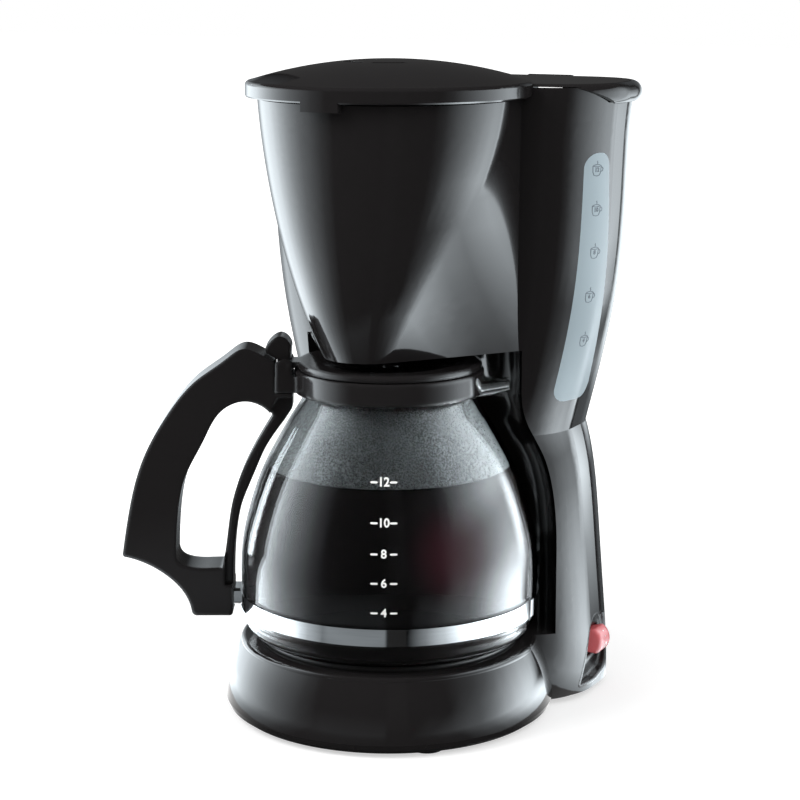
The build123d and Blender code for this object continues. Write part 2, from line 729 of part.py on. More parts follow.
with BuildPart() as lid_deck:
    with BuildSketch(level(ROLL_Z)):
        with Locations((0, TOWER_Y)):
            RectangleRounded(2 * DECK_HALF_WIDTH, 2 * TOWER_HALF_DEPTH, DECK_CORNER)
    extrude(amount=DECK_TOP - ROLL_Z)
    fillet(lid_deck.faces().sort_by(Axis.Z)[-1].edges(), 5.2)
    fillet(lid_deck.faces().sort_by(Axis.Z)[0].edges(), 4.6)
    add(tower_room.part, mode=Mode.SUBTRACT)
    # The rolled edge runs out towards the front and the rear.
    with BuildSketch(SIDE):
        Polygon(
            (20, DECK_TOP + 1), (20, DECK_Z), (30, DECK_Z), (54, ROLL_Z - 1), (74, ROLL_Z - 1), (90, DECK_Z),
            (110, DECK_Z), (110, DECK_TOP + 1), align=None,
        )
    extrude(amount=120, both=True, mode=Mode.INTERSECT)

with BuildPart() as lid:
    with BuildSketch(ROUND):
        with BuildLine():
            Polyline((0, LID_TOP), (0, LID_Z), (LID_R - 0.6, LID_Z))
            Polyline((LID_R - 0.6, LID_Z), (LID_R, LID_Z + 0.8), (LID_R, LID_Z + LID_RIM))
            ThreePointArc((LID_R, LID_Z + LID_RIM), (LID_R - 0.7, 321.2), (LID_R - 2.4, 321.9))
            ThreePointArc((LID_R - 2.4, 321.9), (36, 329.4), (0, LID_TOP))
        make_face()
    revolve(axis=BREW_AXIS)
    add(tower_room.part, mode=Mode.SUBTRACT)
    add(lid_deck.part)
    with BuildSketch(ROUND):
        with BuildLine():
            rim_in = LID_R - LID_WALL
            Polyline((0, LID_TOP - LID_WALL), (0, LID_Z), (rim_in, LID_Z), (rim_in, 318.6))
            ThreePointArc((rim_in, 318.6), (36, 326.8), (0, LID_TOP - LID_WALL))
        make_face()
    revolve(axis=BREW_AXIS, mode=Mode.SUBTRACT)
    # Ring that the shower head hangs from, and the finger tab at the front.
    with BuildSketch(level(316)):
        Circle(30.5)
        Circle(28.5, mode=Mode.SUBTRACT)
    extrude(amount=12)
    with BuildSketch(level(LID_Z - 4)):
        Circle(LID_R)
        Circle(LID_R - 4.2, mode=Mode.SUBTRACT)
        with Locations((0, -LID_R)):
            Rectangle(20, 14, mode=Mode.INTERSECT)
    extrude(amount=6)
    # Steam slots in the dome.
    with BuildSketch(level(LID_TOP - 12)):
        Circle(23.4)
        Circle(21, mode=Mode.SUBTRACT)
        with Locations((0, -22)):
            Rectangle(36, 15, mode=Mode.INTERSECT)
        Rectangle(5, 60, mode=Mode.SUBTRACT)
    extrude(amount=14, mode=Mode.SUBTRACT)
    # Straight rear edge, clearance for the ears, and the knuckles.
    with BuildSketch(level(DECK_Z)):
        with Locations((0, HINGE_Y - 0.5 + 20)):
            Rectangle(2 * DECK_HALF_WIDTH, 40)
        ear_space = KNUCKLE_LENGTH + 2 * (EAR_THICK + 2 * EAR_GAP)
        with Locations((HINGE_X, HINGE_Y), (-HINGE_X, HINGE_Y)):
            Rectangle(ear_space, 10)
    extrude(amount=4, mode=Mode.SUBTRACT)
    for x in (HINGE_X, -HINGE_X):
        with BuildSketch(SIDE.offset(x)):
            with Locations((HINGE_Y, HINGE_Z)):
                Circle(KNUCKLE_R)
            with Locations((HINGE_Y - 3.6, HINGE_Z + 0.7)):
                Rectangle(7.2, 5)
        extrude(amount=KNUCKLE_LENGTH / 2, both=True)
        with BuildSketch(SIDE.offset(x)):
            with Locations((HINGE_Y, HINGE_Z)):
                Circle(PIN_R + RUN)
        extrude(amount=KNUCKLE_LENGTH, both=True, mode=Mode.SUBTRACT)
write(lid.part, "lid")

with BuildPart() as lid_pins:
    for x in (HINGE_X, -HINGE_X):
        with BuildSketch(SIDE.offset(x)):
            with Locations((HINGE_Y, HINGE_Z)):
                Circle(PIN_R)
        extrude(amount=KNUCKLE_LENGTH / 2 + EAR_GAP + EAR_THICK, both=True)
write(lid_pins.part, "lid_pins")

# Shower head: a tray from the riser's end to a round rose over the basket.
with BuildPart() as shower_head:
    with BuildSketch(level(311.2)):
        Circle(30.5)
        with Locations((HOSE_X / 2, RISER_TOP_Y / 2)):
            SlotCenterToCenter(TRAY_RUN, 18, rotation=TRAY_TURN)
    extrude(amount=4.7)
    with BuildSketch(level(313)):
        Circle(28.6)
        with Locations((HOSE_X / 2, RISER_TOP_Y / 2)):
            SlotCenterToCenter(TRAY_RUN, 14.4, rotation=TRAY_TURN)
    extrude(amount=2.9, mode=Mode.SUBTRACT)
    with BuildSketch(level(311.2)):
        with Locations((HOSE_X, RISER_TOP_Y)):
            Circle(4.4)
        with PolarLocations(22, 10):
            Circle(1.5)
        with PolarLocations(12, 6):
            Circle(1.5)
    extrude(amount=1.8, mode=Mode.SUBTRACT)
write(shower_head.part, "shower_head")

# Filter basket: a ribbed cone that hangs by its flange, with the drip boss through the housing's floor.
BASKET_WALL = 2.0
with BuildPart() as filter_basket:
    with BuildSketch(ROUND):
        with BuildLine():
            Polyline(
                (3.6, BASKET_FLOOR), (VALVE_BORE, BASKET_FLOOR), (VALVE_BORE, 185.6), (9.6, 185.6),
                (9.6, BASKET_FLOOR - 1), (20, BASKET_FLOOR - 1), (22.4, BASKET_FLOOR + 1), (54.6, 299.6),
                (58.8, 299.6), (58.8, BASKET_TOP), (53.0, BASKET_TOP), (53.0, 300),
                (20.4, BASKET_FLOOR + BASKET_WALL), (3.6, BASKET_FLOOR + BASKET_WALL), close=True,
            )
        make_face()
    revolve(axis=BREW_AXIS)
    with BuildSketch(ROUND):
        with BuildLine():
            Polyline((19.6, 200), (22, 199), (52.2, 295), (50.4, 295.4), close=True)
        make_face()
    extrude(amount=0.8, both=True)
write(filter_basket.part, "filter_basket")

# Drip valve: foot, stem and head in one, with a rubber seal under the head.
with BuildPart() as drip_valve:
    with BuildSketch(ROUND):
        with BuildLine():
            Polyline((0, 203.4), (0, 182.6), (1.6, 182.6))
            ThreePointArc((1.6, 182.6), (4.4, 183.3), (5.6, 184.6))
            Polyline(
                (5.6, 184.6), (5.6, 186.2), (2.4, 186.2), (2.4, 201.2), (7.2, 201.2), (6.4, 203.4), (0, 203.4),
            )
        make_face()
    revolve(axis=BREW_AXIS)
write(drip_valve.part, "drip_valve")

with BuildPart() as valve_seal:
    with BuildSketch(level(BASKET_FLOOR + BASKET_WALL + 0.2)):
        Circle(8.4)
        Circle(2.4, mode=Mode.SUBTRACT)
    extrude(amount=2.0)
write(valve_seal.part, "valve_seal")


def helix_point(turn):
    """Place and direction on the valve spring, a turn being 1."""
    rise = SPRING_Z[1] - SPRING_Z[0] - 2 * SPRING_WIRE
    angle = 2 * math.pi * turn
    place = at_brew(
        SPRING_R * math.cos(angle), SPRING_R * math.sin(angle),
        SPRING_Z[0] + SPRING_WIRE + rise * turn / SPRING_TURNS,
    )
    pace = 2 * math.pi * SPRING_R
    heading = Vector(-pace * math.sin(angle), pace * math.cos(angle), rise / SPRING_TURNS)
    return Vector(*place), heading.normalized()


# Return spring of the valve: each quarter turn is two arcs that meet in line.
with BuildPart() as valve_spring:
    with BuildLine() as spring_route:
        for quarter in range(4 * SPRING_TURNS):
            start, leave = helix_point(quarter / 4)
            end, arrive = helix_point((quarter + 1) / 4)
            across = end - start
            both = leave + arrive
            spread = 2 * (1 - leave.dot(arrive))
            along = across.dot(both)
            arm = (math.sqrt(along**2 + spread * across.dot(across)) - along) / spread
            middle = (start + end + (leave - arrive) * arm) * 0.5
            first = TangentArc(start, middle, tangent=leave)
            TangentArc(middle, end, tangent=first % 1)
    with BuildSketch(Plane(spring_route.line @ 0, z_dir=spring_route.line % 0)):
        Circle(SPRING_WIRE)
    sweep()
write(valve_spring.part, "valve_spring")
coil_pitch = (SPRING_Z[1] - SPRING_Z[0] - 2 * SPRING_WIRE) / SPRING_TURNS
print("valve spring, least gap between turns", round(coil_pitch - 2 * SPRING_WIRE, 2))

# Carafe glass: flat foot, upright seat for the band, drawn-in shoulder, and a pouring lip.
FOOT_R = 74.6
NECK_R = 42.4
inner_wall = inset_path(GLASS_WALL, GLASS)


def spout_block(sections):
    """Tapered pouring lip away from the handle, through sections of reach, height, width and depth."""
    with BuildPart() as block:
        for out, height, wide, deep in sections:
            place = Plane(
                at_brew(-out * HANDLE_X, -out * HANDLE_Y, height),
                x_dir=(-HANDLE_Y, HANDLE_X, 0),
                z_dir=(-HANDLE_X, -HANDLE_Y, 0),
            )
            with BuildSketch(place):
                RectangleRounded(wide, deep, 0.42 * deep)
        loft()
    return block.part


SPOUT = ((36.0, 166.6, 31.0, 9.0), (61.0, 168.8, 11.0, 5.6))
SPOUT_HOLLOW = ((35.0, 169.0, 26.4, 9.0), (62.0, 170.4, 7.0, 5.6))
SPOUT_NOTCH = ((36.0, 166.6, 32.4, 10.4), (61.0, 168.8, 12.4, 7.0))

with BuildPart() as carafe_glass:
    with BuildSketch(HANDLE_SIDE):
        with BuildLine():
            Polyline((0, CARAFE_Z + GLASS), (0, CARAFE_Z), (FOOT_R - 9, CARAFE_Z))
            ThreePointArc((FOOT_R - 9, CARAFE_Z), (FOOT_R - 2.4, CARAFE_Z + 2.8), (FOOT_R, CARAFE_Z + 8))
            Polyline((FOOT_R, CARAFE_Z + 8), (GLASS_WALL[0][0], 53), GLASS_WALL[0])
            Spline(*GLASS_WALL, tangents=((0, 1), (-0.4, 1)))
            Polyline(
                GLASS_WALL[-1], (NECK_R, 170), (NECK_R, GLASS_LIP_Z), (NECK_R - GLASS, GLASS_LIP_Z),
                (NECK_R - GLASS, 170), inner_wall[-1],
            )
            Spline(*reversed(inner_wall), tangents=((0.4, -1), (0, -1)))
            Polyline(inner_wall[0], (GLASS_WALL[0][0] - GLASS, 54), (FOOT_R - GLASS, CARAFE_Z + 9))
            inner_heel = (FOOT_R - 4.4, CARAFE_Z + 4.8)
            ThreePointArc((FOOT_R - GLASS, CARAFE_Z + 9), inner_heel, (FOOT_R - 9, CARAFE_Z + GLASS))
            Line((FOOT_R - 9, CARAFE_Z + GLASS), (0, CARAFE_Z + GLASS))
        make_face()
    revolve(axis=BREW_AXIS)
    with BuildSketch(level(150)):
        Circle(NECK_R - 1.2)
    neck_core = extrude(amount=40, mode=Mode.PRIVATE)
    add(spout_block(SPOUT) - neck_core)
    add(spout_block(SPOUT_HOLLOW), mode=Mode.SUBTRACT)
write(carafe_glass.part, "carafe_glass")

# Bright band round the carafe's foot, with the tab that the handle's foot is screwed to.
BAND_IN = GLASS_WALL[0][0] + 0.05
BAND_MID = BAND_Z + BAND_HIGH / 2
HANDLE_OUT = Plane(at_brew(0, 0, BAND_MID), x_dir=(HANDLE_Y, -HANDLE_X, 0), z_dir=(HANDLE_X, HANDLE_Y, 0))
with BuildPart() as carafe_band:
    with BuildSketch(HANDLE_OUT.offset(70)):
        RectangleRounded(14, BAND_HIGH, 1.5)
    extrude(amount=10)
    with BuildSketch(level(BAND_Z - 1)):
        Circle(BAND_IN + 0.4)
    extrude(amount=BAND_HIGH + 2, mode=Mode.SUBTRACT)
    with BuildSketch(level(BAND_Z)):
        Circle(BAND_IN + BAND_THICK)
        Circle(BAND_IN, mode=Mode.SUBTRACT)
    extrude(amount=BAND_HIGH)
    with BuildSketch(HANDLE_OUT.offset(77.6)):
        Circle(1.6)
    extrude(amount=5, mode=Mode.SUBTRACT)
write(carafe_band.part, "carafe_band")

# Handle: grip, finger opening and the thin strap that follows the glass, in one moulding.
HANDLE_TOP = ((57.6, 182.0), (60.0, 183.4), (66.0, 186.8), (72.7, 188.8), (82.4, 183.3))
HANDLE_BACK = ((82.4, 183.3), (97.3, 172.5), (112.4, 154.4), (124.6, 132.4), (131.9, 107.2), (136.0, 83.0))
HANDLE_UNDER = ((134.4, 81.0), (123.9, 77.4), (114.2, 71.5), (106.1, 63.5), (101.4, 52.6))
STRAP_IN = (
    (80.3, 52.0), (80.2, 66.0), (79.2, 87.0), (75.2, 108.0),
    (68.2, 125.2), (62.2, 138.5), (58.1, 144.9), (52.6, 152.4),
)
STRAP_OUT = ((85.4, 75.2), (82.4, 94.0), (80.2, 108.0), (74.7, 125.0), (68.0, 138.5), (58.6, 154.0))
GRIP_TOP = ((58.6, 154.0), (64.2, 159.6), (72.4, 162.0), (84.6, 157.0), (93.5, 142.4))
GRIP_IN = ((93.5, 142.4), (103.6, 122.5), (107.8, 102.4), (109.0, 82.0))
GRIP_FOOT = ((109.0, 82.0), (106.6, 77.4), (102.0, 75.6), (94.0, 75.0), (85.4, 75.2))

with BuildPart() as carafe_handle:
    with BuildSketch(HANDLE_SIDE):
        with BuildLine():
            Spline(*(HANDLE_TOP + HANDLE_BACK[1:]))
            ThreePointArc(HANDLE_BACK[-1], (135.8, 81.7), HANDLE_UNDER[0])
            Spline(*HANDLE_UNDER)
            ThreePointArc(HANDLE_UNDER[-1], (100.4, 50.6), (98.2, 50.0))
            Line((98.2, 50.0), (82.4, 50.0))
            ThreePointArc((82.4, 50.0), (80.9, 50.5), STRAP_IN[0])
            Spline(*STRAP_IN)
            Polyline(STRAP_IN[-1], (49.0, 158.0), (48.8, 166.0), (57.6, 166.0), HANDLE_TOP[0])
        make_face()
        with BuildLine():
            Spline(*STRAP_OUT)
            Spline(*(GRIP_TOP + GRIP_IN[1:]))
            Spline(*GRIP_FOOT)
        make_face(mode=Mode.SUBTRACT)
    extrude(amount=GRIP_WIDTH / 2, both=True)
    # The strap is narrower than the grip.
    for side in (1, -1):
        with BuildSketch(HANDLE_SIDE.offset(side * STRAP_WIDTH / 2)):
            with BuildLine():
                Polyline((40, 164), (40, 66), (84, 66), (84, 84), (77, 132), (63, 150), (56, 164), close=True)
            make_face()
        extrude(amount=side * GRIP_WIDTH, mode=Mode.SUBTRACT)
    with BuildSketch(HANDLE_OUT.offset(80)):
        Circle(1.9)
    extrude(amount=30, mode=Mode.SUBTRACT)
    with BuildSketch(HANDLE_OUT.offset(96)):
        Circle(3.7)
    extrude(amount=14, mode=Mode.SUBTRACT)
write(carafe_handle.part, "carafe_handle")

with BuildPart() as band_screw:
    with BuildSketch(HANDLE_OUT.offset(77.8)):
        Circle(1.6)
    extrude(amount=19)
    with BuildSketch(HANDLE_OUT.offset(96)):
        Circle(3.2)
        SlotOverall(5, 0.8, mode=Mode.SUBTRACT)
    extrude(amount=2)
write(band_screw.part, "band_screw")

# Collar round the neck, with the lug that enters the handle and the ears of the carafe lid's hinge.
EAR_IN = 8.0
EAR_OUT = 11.0
LID_PIN_HALF = EAR_OUT - 1.2
with BuildPart() as carafe_collar:
    with BuildSketch(level(166.4)):
        Circle(48.0)
    extrude(amount=11.4)
    fillet(carafe_collar.faces().sort_by(Axis.Z)[-1].edges(), 1.2)
    with BuildSketch(carafe_level(166.4)):
        with Locations((51, 0)):
            Rectangle(12.8, 2 * EAR_OUT)
    extrude(amount=8.2)
    for side in (1, -1):
        with BuildSketch(HANDLE_SIDE.offset(side * EAR_IN)):
            with Locations((LID_PIN_OUT, LID_PIN_Z)):
                Circle(3.2)
            Polygon(
                (LID_PIN_OUT - 3.2, 170), (57.2, 170), (57.2, 181.4), (LID_PIN_OUT + 1.6, LID_PIN_Z + 2.8),
                (LID_PIN_OUT - 3.2, LID_PIN_Z), align=None,
            )
        extrude(amount=side * (EAR_OUT - EAR_IN))
    with BuildSketch(level(160)):
        Circle(NECK_R + 0.4)
    extrude(amount=30, mode=Mode.SUBTRACT)
    add(spout_block(SPOUT_NOTCH), mode=Mode.SUBTRACT)
    with BuildSketch(HANDLE_SIDE):
        with Locations((LID_PIN_OUT, LID_PIN_Z)):
            Circle(1.4)
    extrude(amount=LID_PIN_HALF, both=True, mode=Mode.SUBTRACT)
write(carafe_collar.part, "carafe_collar")

# Carafe lid: dished towards the drip hole, with a plug ring, hinge knuckle and thumb lever.
with BuildPart() as carafe_lid:
    with BuildSketch(ROUND):
        with BuildLine():
            Polyline(
                (5, 176.0), (22, 176.4), (36.0, 178.4), (36.0, 171.5), (38.4, 171.5), (38.4, 178.4),
                (47.0, 178.4), (47.0, 179.6),
            )
            ThreePointArc((47.0, 179.6), (46.4, 181.0), (45.0, 181.6))
            Polyline((45.0, 181.6), (36, 181.6), (22, 178.6), (5, 178.2), (5, 176.0))
        make_face()
    revolve(axis=BREW_AXIS)
    with BuildSketch(HANDLE_SIDE):
        with Locations((LID_PIN_OUT, LID_PIN_Z)):
            Circle(3.0)
        with Locations((48.0, 180.0)):
            Rectangle(8, 3.0)
    extrude(amount=EAR_IN - 0.4, both=True)
    with BuildSketch(HANDLE_SIDE):
        with BuildLine():
            Polyline((54.6, 182.0), (49.6, 182.0), (49.4, 187.0))
            Spline((49.4, 187.0), (51.0, 192.6), (54.6, 194.6), (58.8, 192.8), (62.4, 188.0))
            Polyline((62.4, 188.0), (61.8, 186.2), (57.4, 183.6), (54.6, 182.0))
        make_face()
    extrude(amount=EAR_IN - 0.4, both=True)
    with BuildSketch(HANDLE_SIDE):
        with Locations((LID_PIN_OUT, LID_PIN_Z)):
            Circle(1.4 + RUN)
    extrude(amount=20, both=True, mode=Mode.SUBTRACT)
write(carafe_lid.part, "carafe_lid")

with BuildPart() as carafe_lid_pin:
    with BuildSketch(HANDLE_SIDE):
        with Locations((LID_PIN_OUT, LID_PIN_Z)):
            Circle(1.4)
    extrude(amount=LID_PIN_HALF, both=True)
write(carafe_lid_pin.part, "carafe_lid_pin")
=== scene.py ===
"""Drip coffee maker: finishes, printed marks, coffee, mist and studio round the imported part."""

import math

import bmesh
import bpy
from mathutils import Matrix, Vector


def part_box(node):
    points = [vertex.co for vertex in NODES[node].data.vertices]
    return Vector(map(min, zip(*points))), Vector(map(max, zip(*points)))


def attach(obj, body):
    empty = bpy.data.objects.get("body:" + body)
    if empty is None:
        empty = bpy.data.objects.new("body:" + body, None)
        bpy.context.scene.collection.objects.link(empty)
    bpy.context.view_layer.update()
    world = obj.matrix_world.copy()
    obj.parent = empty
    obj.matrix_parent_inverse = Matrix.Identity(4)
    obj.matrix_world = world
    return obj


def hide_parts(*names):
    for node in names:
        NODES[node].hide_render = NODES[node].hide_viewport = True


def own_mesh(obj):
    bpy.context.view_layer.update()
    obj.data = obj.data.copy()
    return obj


bl_info = {
    "name": "Drip Coffee Maker",
    "version": (1, 0, 0),
    "blender": (4, 5, 0),
    "location": "View3D > Sidebar > Brewer",
    "description": "Finishes, printed marks, coffee and studio for a drip coffee maker",
    "category": "Object",
}

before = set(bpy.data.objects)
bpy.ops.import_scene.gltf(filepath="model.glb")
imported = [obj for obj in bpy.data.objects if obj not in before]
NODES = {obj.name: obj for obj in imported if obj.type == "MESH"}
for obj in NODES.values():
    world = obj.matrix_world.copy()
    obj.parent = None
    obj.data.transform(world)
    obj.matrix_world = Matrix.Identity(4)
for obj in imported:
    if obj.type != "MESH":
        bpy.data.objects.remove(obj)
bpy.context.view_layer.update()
PLATE_LOW, PLATE_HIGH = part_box("warming_plate")
# The brew axis, upright through the middle of the warming plate.
BREW = ((PLATE_LOW[0] + PLATE_HIGH[0]) / 2, (PLATE_LOW[1] + PLATE_HIGH[1]) / 2)
MM = 0.001
# The photograph is taken from this far round to the right of the front, in radians.
VIEW_TURN = math.radians(27.5)
FACING = -math.pi / 2 + VIEW_TURN
# Camera, as fitted to the photograph: metres from the brew axis, over the table and sideways, and its tilt.
CAMERA_AWAY, CAMERA_HEIGHT, CAMERA_SIDE = 1.069, 0.381, 0.0054
CAMERA_TILT = math.radians(11.65)
SENSOR_WIDTH = 36.0
# Lamps: name, turn from the camera's side and rise in degrees, size in metres, watts.
LAMPS = (("left_lamp", -70, 40, 0.8, 12.0), ("right_lamp", 50, 40, 0.8, 6.0))
LAMP_AWAY, LAMP_AIM_HEIGHT = 1.2, 0.15
FLOOR_HALF = 8.0
# Cup marks on the carafe: number, and height over the table in millimetres. A bar stands on each side.
CARAFE_MARKS = (("12", 132.6), ("10", 114.2), ("8", 99.8), ("6", 85.9), ("4", 71.3))
CARAFE_MARKS_ASIDE = -2.4 * MM
BAR_LENGTH, BAR_THICK, BAR_ASIDE = 3.6 * MM, 0.95 * MM, 4.75 * MM
BAR_PIECES = 6
# Cup marks on the window: number, place behind the brew axis and height over the table in millimetres.
WINDOW_MARKS = (
    ("12", 44.9, 277.6),
    ("10", 45.7, 257.6),
    ("8", 46.7, 236.1),
    ("6", 46.9, 213.6),
    ("4", 48.7, 190.6),
)
MUG_SIZE, MUG_NUMBER = 6.2 * MM, 2.0 * MM
# Signs on the rocker: letter, and lift over its middle in millimetres.
ROCKER_SIGNS = (("I", 3.1), ("O", -3.1))
ROCKER_SIGN_HEIGHT = 3.0 * MM
# Ink stands this many of its depths over what it is printed on.
INK_LIFT = 0.6
# Lettering: a figure's height in shares of the font's size, its weight and merging in shares of its height.
FIGURE_SHARE, FIGURE_WEIGHT, FIGURE_MERGE = 0.69, 0.04, 0.006
# Lines of a small mug, in shares of its size: body, rim, ear and steam.
MUG_LINES = (
    ((-0.42, 0.34), (-0.40, -0.16), (-0.28, -0.42), (0.0, -0.48), (0.28, -0.42), (0.40, -0.16), (0.42, 0.34)),
    (
        *((-0.42, 0.34), (-0.2, 0.42), (0.0, 0.44), (0.2, 0.42), (0.42, 0.34)),
        *((0.2, 0.27), (0.0, 0.25), (-0.2, 0.27), (-0.42, 0.34)),
    ),
    ((0.41, 0.2), (0.58, 0.2), (0.66, 0.06), (0.6, -0.1), (0.4, -0.14)),
    ((0.0, 0.5), (0.05, 0.58), (-0.02, 0.66), (0.03, 0.74)),
)
MUG_STROKE = 0.055
# Steps round a turned shape, and round the seat of the drops.
TURN_STEPS, SEAT_STEPS = 128, 96
# The coffee starts this far over the foot of the glass, flat in the middle, and keeps a gap from its wall.
GLASS_FLOOR, COFFEE_FLAT, COFFEE_GAP = 2.7 * MM, 30 * MM, 0.3 * MM
COFFEE_STEP = 1.5 * MM
# The coffee creeps up the glass a little at its rim: steps inwards and over its level.
COFFEE_RIM = ((0.0, 1.2 * MM), (0.7 * MM, 0.4 * MM), (2.2 * MM, 0.0))
# Painted red glow in the coffee, an emission in place of light that leaks through it: middle from the brew
# axis, reach inwards and level.
PAINTED_GLOW_AT = (58 * MM, -36 * MM, 96 * MM)
PAINTED_GLOW_REACH, PAINTED_GLOW_LEVEL = (30 * MM, 5 * MM), 0.022
# The mist starts this far over the coffee. Its two faces and the drops' seat stand off the glass.
MIST_START = 1.6 * MM
MIST_OUTER, MIST_INNER, DROP_SEAT = 0.12 * MM, 0.24 * MM, 0.3 * MM
MIST_STEPS = 24
MIST_RADIUS = 0.05
# Drops: least and most radius in metres, and the seed of their scatter.
DROP_RADII = (0.00018, 0.00055)
DROP_SEED = 7
# The paper grows to white between these distances from the brew axis, in metres.
PAPER_REACH = (0.12, 0.5)
# Through glass, the sky turns white between these shares of straight ahead.
AHEAD_REACH = (-0.1, 0.3)
# Rays that look for a surface start this far to the right of the part, or out from the brew axis, in metres.
RAY_RIGHT, RAY_OUT = 0.3, 0.2
# Colour of the light walls' glow.
WALL_TINT = (0.87, 0.95, 1.0)
# Rows of the light walls, from a skirt on the floor upwards: radius and height.
WALL_SKIRT = ((0.11, 0.0006), (0.15, 0.0006), (0.26, 0.0006))
WALL_ROWS = WALL_SKIRT + tuple((0.26, height) for height in (0.05, 0.1, 0.14, 0.19, 0.28, 0.34, 0.44))
# Panels of each wall: levels over the turn from the camera's side in degrees, and a share for each row.
# They are set so that the highlights fall about where the photograph has them.
LEFT_PANELS = (
    # tall soft panel
    (
        ((-44, 0), (-55, 0.6), (-75, 2.8), (-95, 6), (-105, 7), (-115, 7), (-135, 4), (-145, 1.2), (-162, 0)),
        (0.5, 0.85, 0.85, 0.85, 1.0, 1.1, 1.02, 0.97, 0.9, 0.2),
    ),
    # card on the floor in front
    (((-1, 0), (-3, 0.26), (-40, 0.3), (-60, 0)), (0, 0.2, 1, 0, 0, 0, 0, 0, 0, 0)),
)
RIGHT_PANELS = (
    # strong strip on the floor
    (
        (
            *((36, 0), (55, 2.2), (65, 4.8), (75, 9), (85, 12)),
            *((95, 12), (104, 9), (110, 4.5), (115, 0.6), (118, 0)),
        ),
        (0.4, 0.85, 1.0, 0.7, 0.36, 0.2, 0, 0, 0, 0),
    ),
    # tall soft panel
    (
        ((36, 0), (45, 0.4), (55, 1.8), (75, 4.8), (85, 6), (95, 6.2), (103, 5), (112, 0.8), (116, 0)),
        (0, 0, 0, 0, 0, 0.15, 1.05, 0.85, 0.75, 0.2),
    ),
    # two upright strips towards the rear, with a gap between them
    (
        ((104, 0), (110, 3.6), (117, 4), (121, 0.3), (126, 2.8), (132, 3), (140, 1.8), (147, 0)),
        (0, 0, 0.05, 0.1, 0.15, 0.9, 1, 0.9, 0.1, 0),
    ),
    # short strip by the foot of the tower
    (((105, 0), (112, 5), (117, 6.8), (120, 0)), (0, 0, 0, 0.35, 1, 0.5, 0, 0, 0, 0)),
    # card on the floor in front
    (((11, 0), (23, 0.28), (36, 0.8), (55, 0)), (0, 0.2, 1, 0, 0, 0, 0, 0, 0, 0)),
)


class BrewerFinish(bpy.types.PropertyGroup):
    """Colours of the moulded and clear pieces, the prints and the coffee."""

    gloss_black: bpy.props.FloatVectorProperty(
        name="Gloss black",
        description="Colour of the two bodies, the brew housing and the lid",
        subtype="COLOR",
        default=(0.0132, 0.0122, 0.0125),
    )
    satin_black: bpy.props.FloatVectorProperty(
        name="Satin black",
        description="Colour of the carafe's handle, collar and lid, and of the switch bezel",
        subtype="COLOR",
        default=(0.0136, 0.0126, 0.0129),
    )
    matt_black: bpy.props.FloatVectorProperty(
        name="Matt black",
        description="Colour of the basket, the bottom plate and other inner mouldings",
        subtype="COLOR",
        default=(0.0150, 0.0140, 0.0140),
    )
    window_tint: bpy.props.FloatVectorProperty(
        name="Window tint",
        description="Colour of the frosted water window",
        subtype="COLOR",
        default=(0.305, 0.376, 0.413),
    )
    rocker_red: bpy.props.FloatVectorProperty(
        name="Rocker red",
        description="Colour of the lit switch rocker",
        subtype="COLOR",
        default=(0.66, 0.1, 0.13),
    )
    print_white: bpy.props.FloatVectorProperty(
        name="Print white",
        description="Colour of the marks on the carafe",
        subtype="COLOR",
        default=(0.86, 0.86, 0.84),
    )
    print_grey: bpy.props.FloatVectorProperty(
        name="Print grey",
        description="Colour of the marks on the water window",
        subtype="COLOR",
        default=(0.09, 0.11, 0.13),
    )
    coffee: bpy.props.FloatVectorProperty(
        name="Coffee",
        description="Colour that the coffee lets through",
        subtype="COLOR",
        default=(0.84, 0.03, 0.01),
    )


class BrewerSizes(bpy.types.PropertyGroup):
    """Levels of coffee and light, print sizes and the lens."""

    coffee_level: bpy.props.FloatProperty(
        name="Coffee level",
        description="Height of the coffee over the table",
        subtype="DISTANCE",
        default=0.1269,
    )
    mist_top: bpy.props.FloatProperty(
        name="Mist top",
        description="Height where the mist on the glass ends",
        subtype="DISTANCE",
        default=0.163,
    )
    drop_count: bpy.props.IntProperty(
        name="Drops", description="Drops of water on the misted glass", default=1500, min=0, max=4000
    )
    mark_height: bpy.props.FloatProperty(
        name="Mark height",
        description="Height of the numbers on the glass",
        subtype="DISTANCE",
        default=0.0039,
    )
    print_depth: bpy.props.FloatProperty(
        name="Print depth",
        description="Thickness of printed ink",
        subtype="DISTANCE",
        default=0.00012,
    )
    lens: bpy.props.FloatProperty(name="Lens", description="Camera lens in millimetres", default=96.7)
    lamp_level: bpy.props.FloatProperty(name="Lamp level", description="Scale of all lamps", default=1.0)
    wall_level: bpy.props.FloatProperty(
        name="Wall level", description="Scale of the light walls", default=1.0
    )
    ambience: bpy.props.FloatProperty(
        name="Ambience", description="Strength of the even light", default=0.5
    )
    paper_glow: bpy.props.FloatProperty(
        name="Paper glow", description="What the camera sees the floor add by the object", default=0.55
    )
    floor_mirror: bpy.props.FloatProperty(
        name="Floor mirror", description="What reflections see of the floor", default=2.0
    )
    sky_level: bpy.props.FloatProperty(
        name="Sky level", description="What reflections see overhead", default=0.05
    )


# Shader helpers


def adder(tree):
    """A function that adds nodes to a tree, and sets their properties or sockets."""

    def add(kind, **values):
        node = tree.nodes.new(kind)
        for key, value in values.items():
            if hasattr(node, key):
                setattr(node, key, value)
            else:
                node.inputs[key.replace("_", " ").title()].default_value = value
        return node

    return add


def start_material(name):
    """A new node material with its tree, its shader and a function that adds nodes to it."""
    material = bpy.data.materials.new(name)
    material.use_nodes = True
    tree = material.node_tree
    return material, tree, tree.nodes["Principled BSDF"], adder(tree)


def noise(tree, add, scale, detail=4.0, rough=0.55):
    """Noise on the object's own coordinates."""
    coords = add("ShaderNodeTexCoord")
    pattern = add("ShaderNodeTexNoise", scale=scale, detail=detail, roughness=rough)
    tree.links.new(coords.outputs["Object"], pattern.inputs["Vector"])
    return pattern.outputs["Fac"]


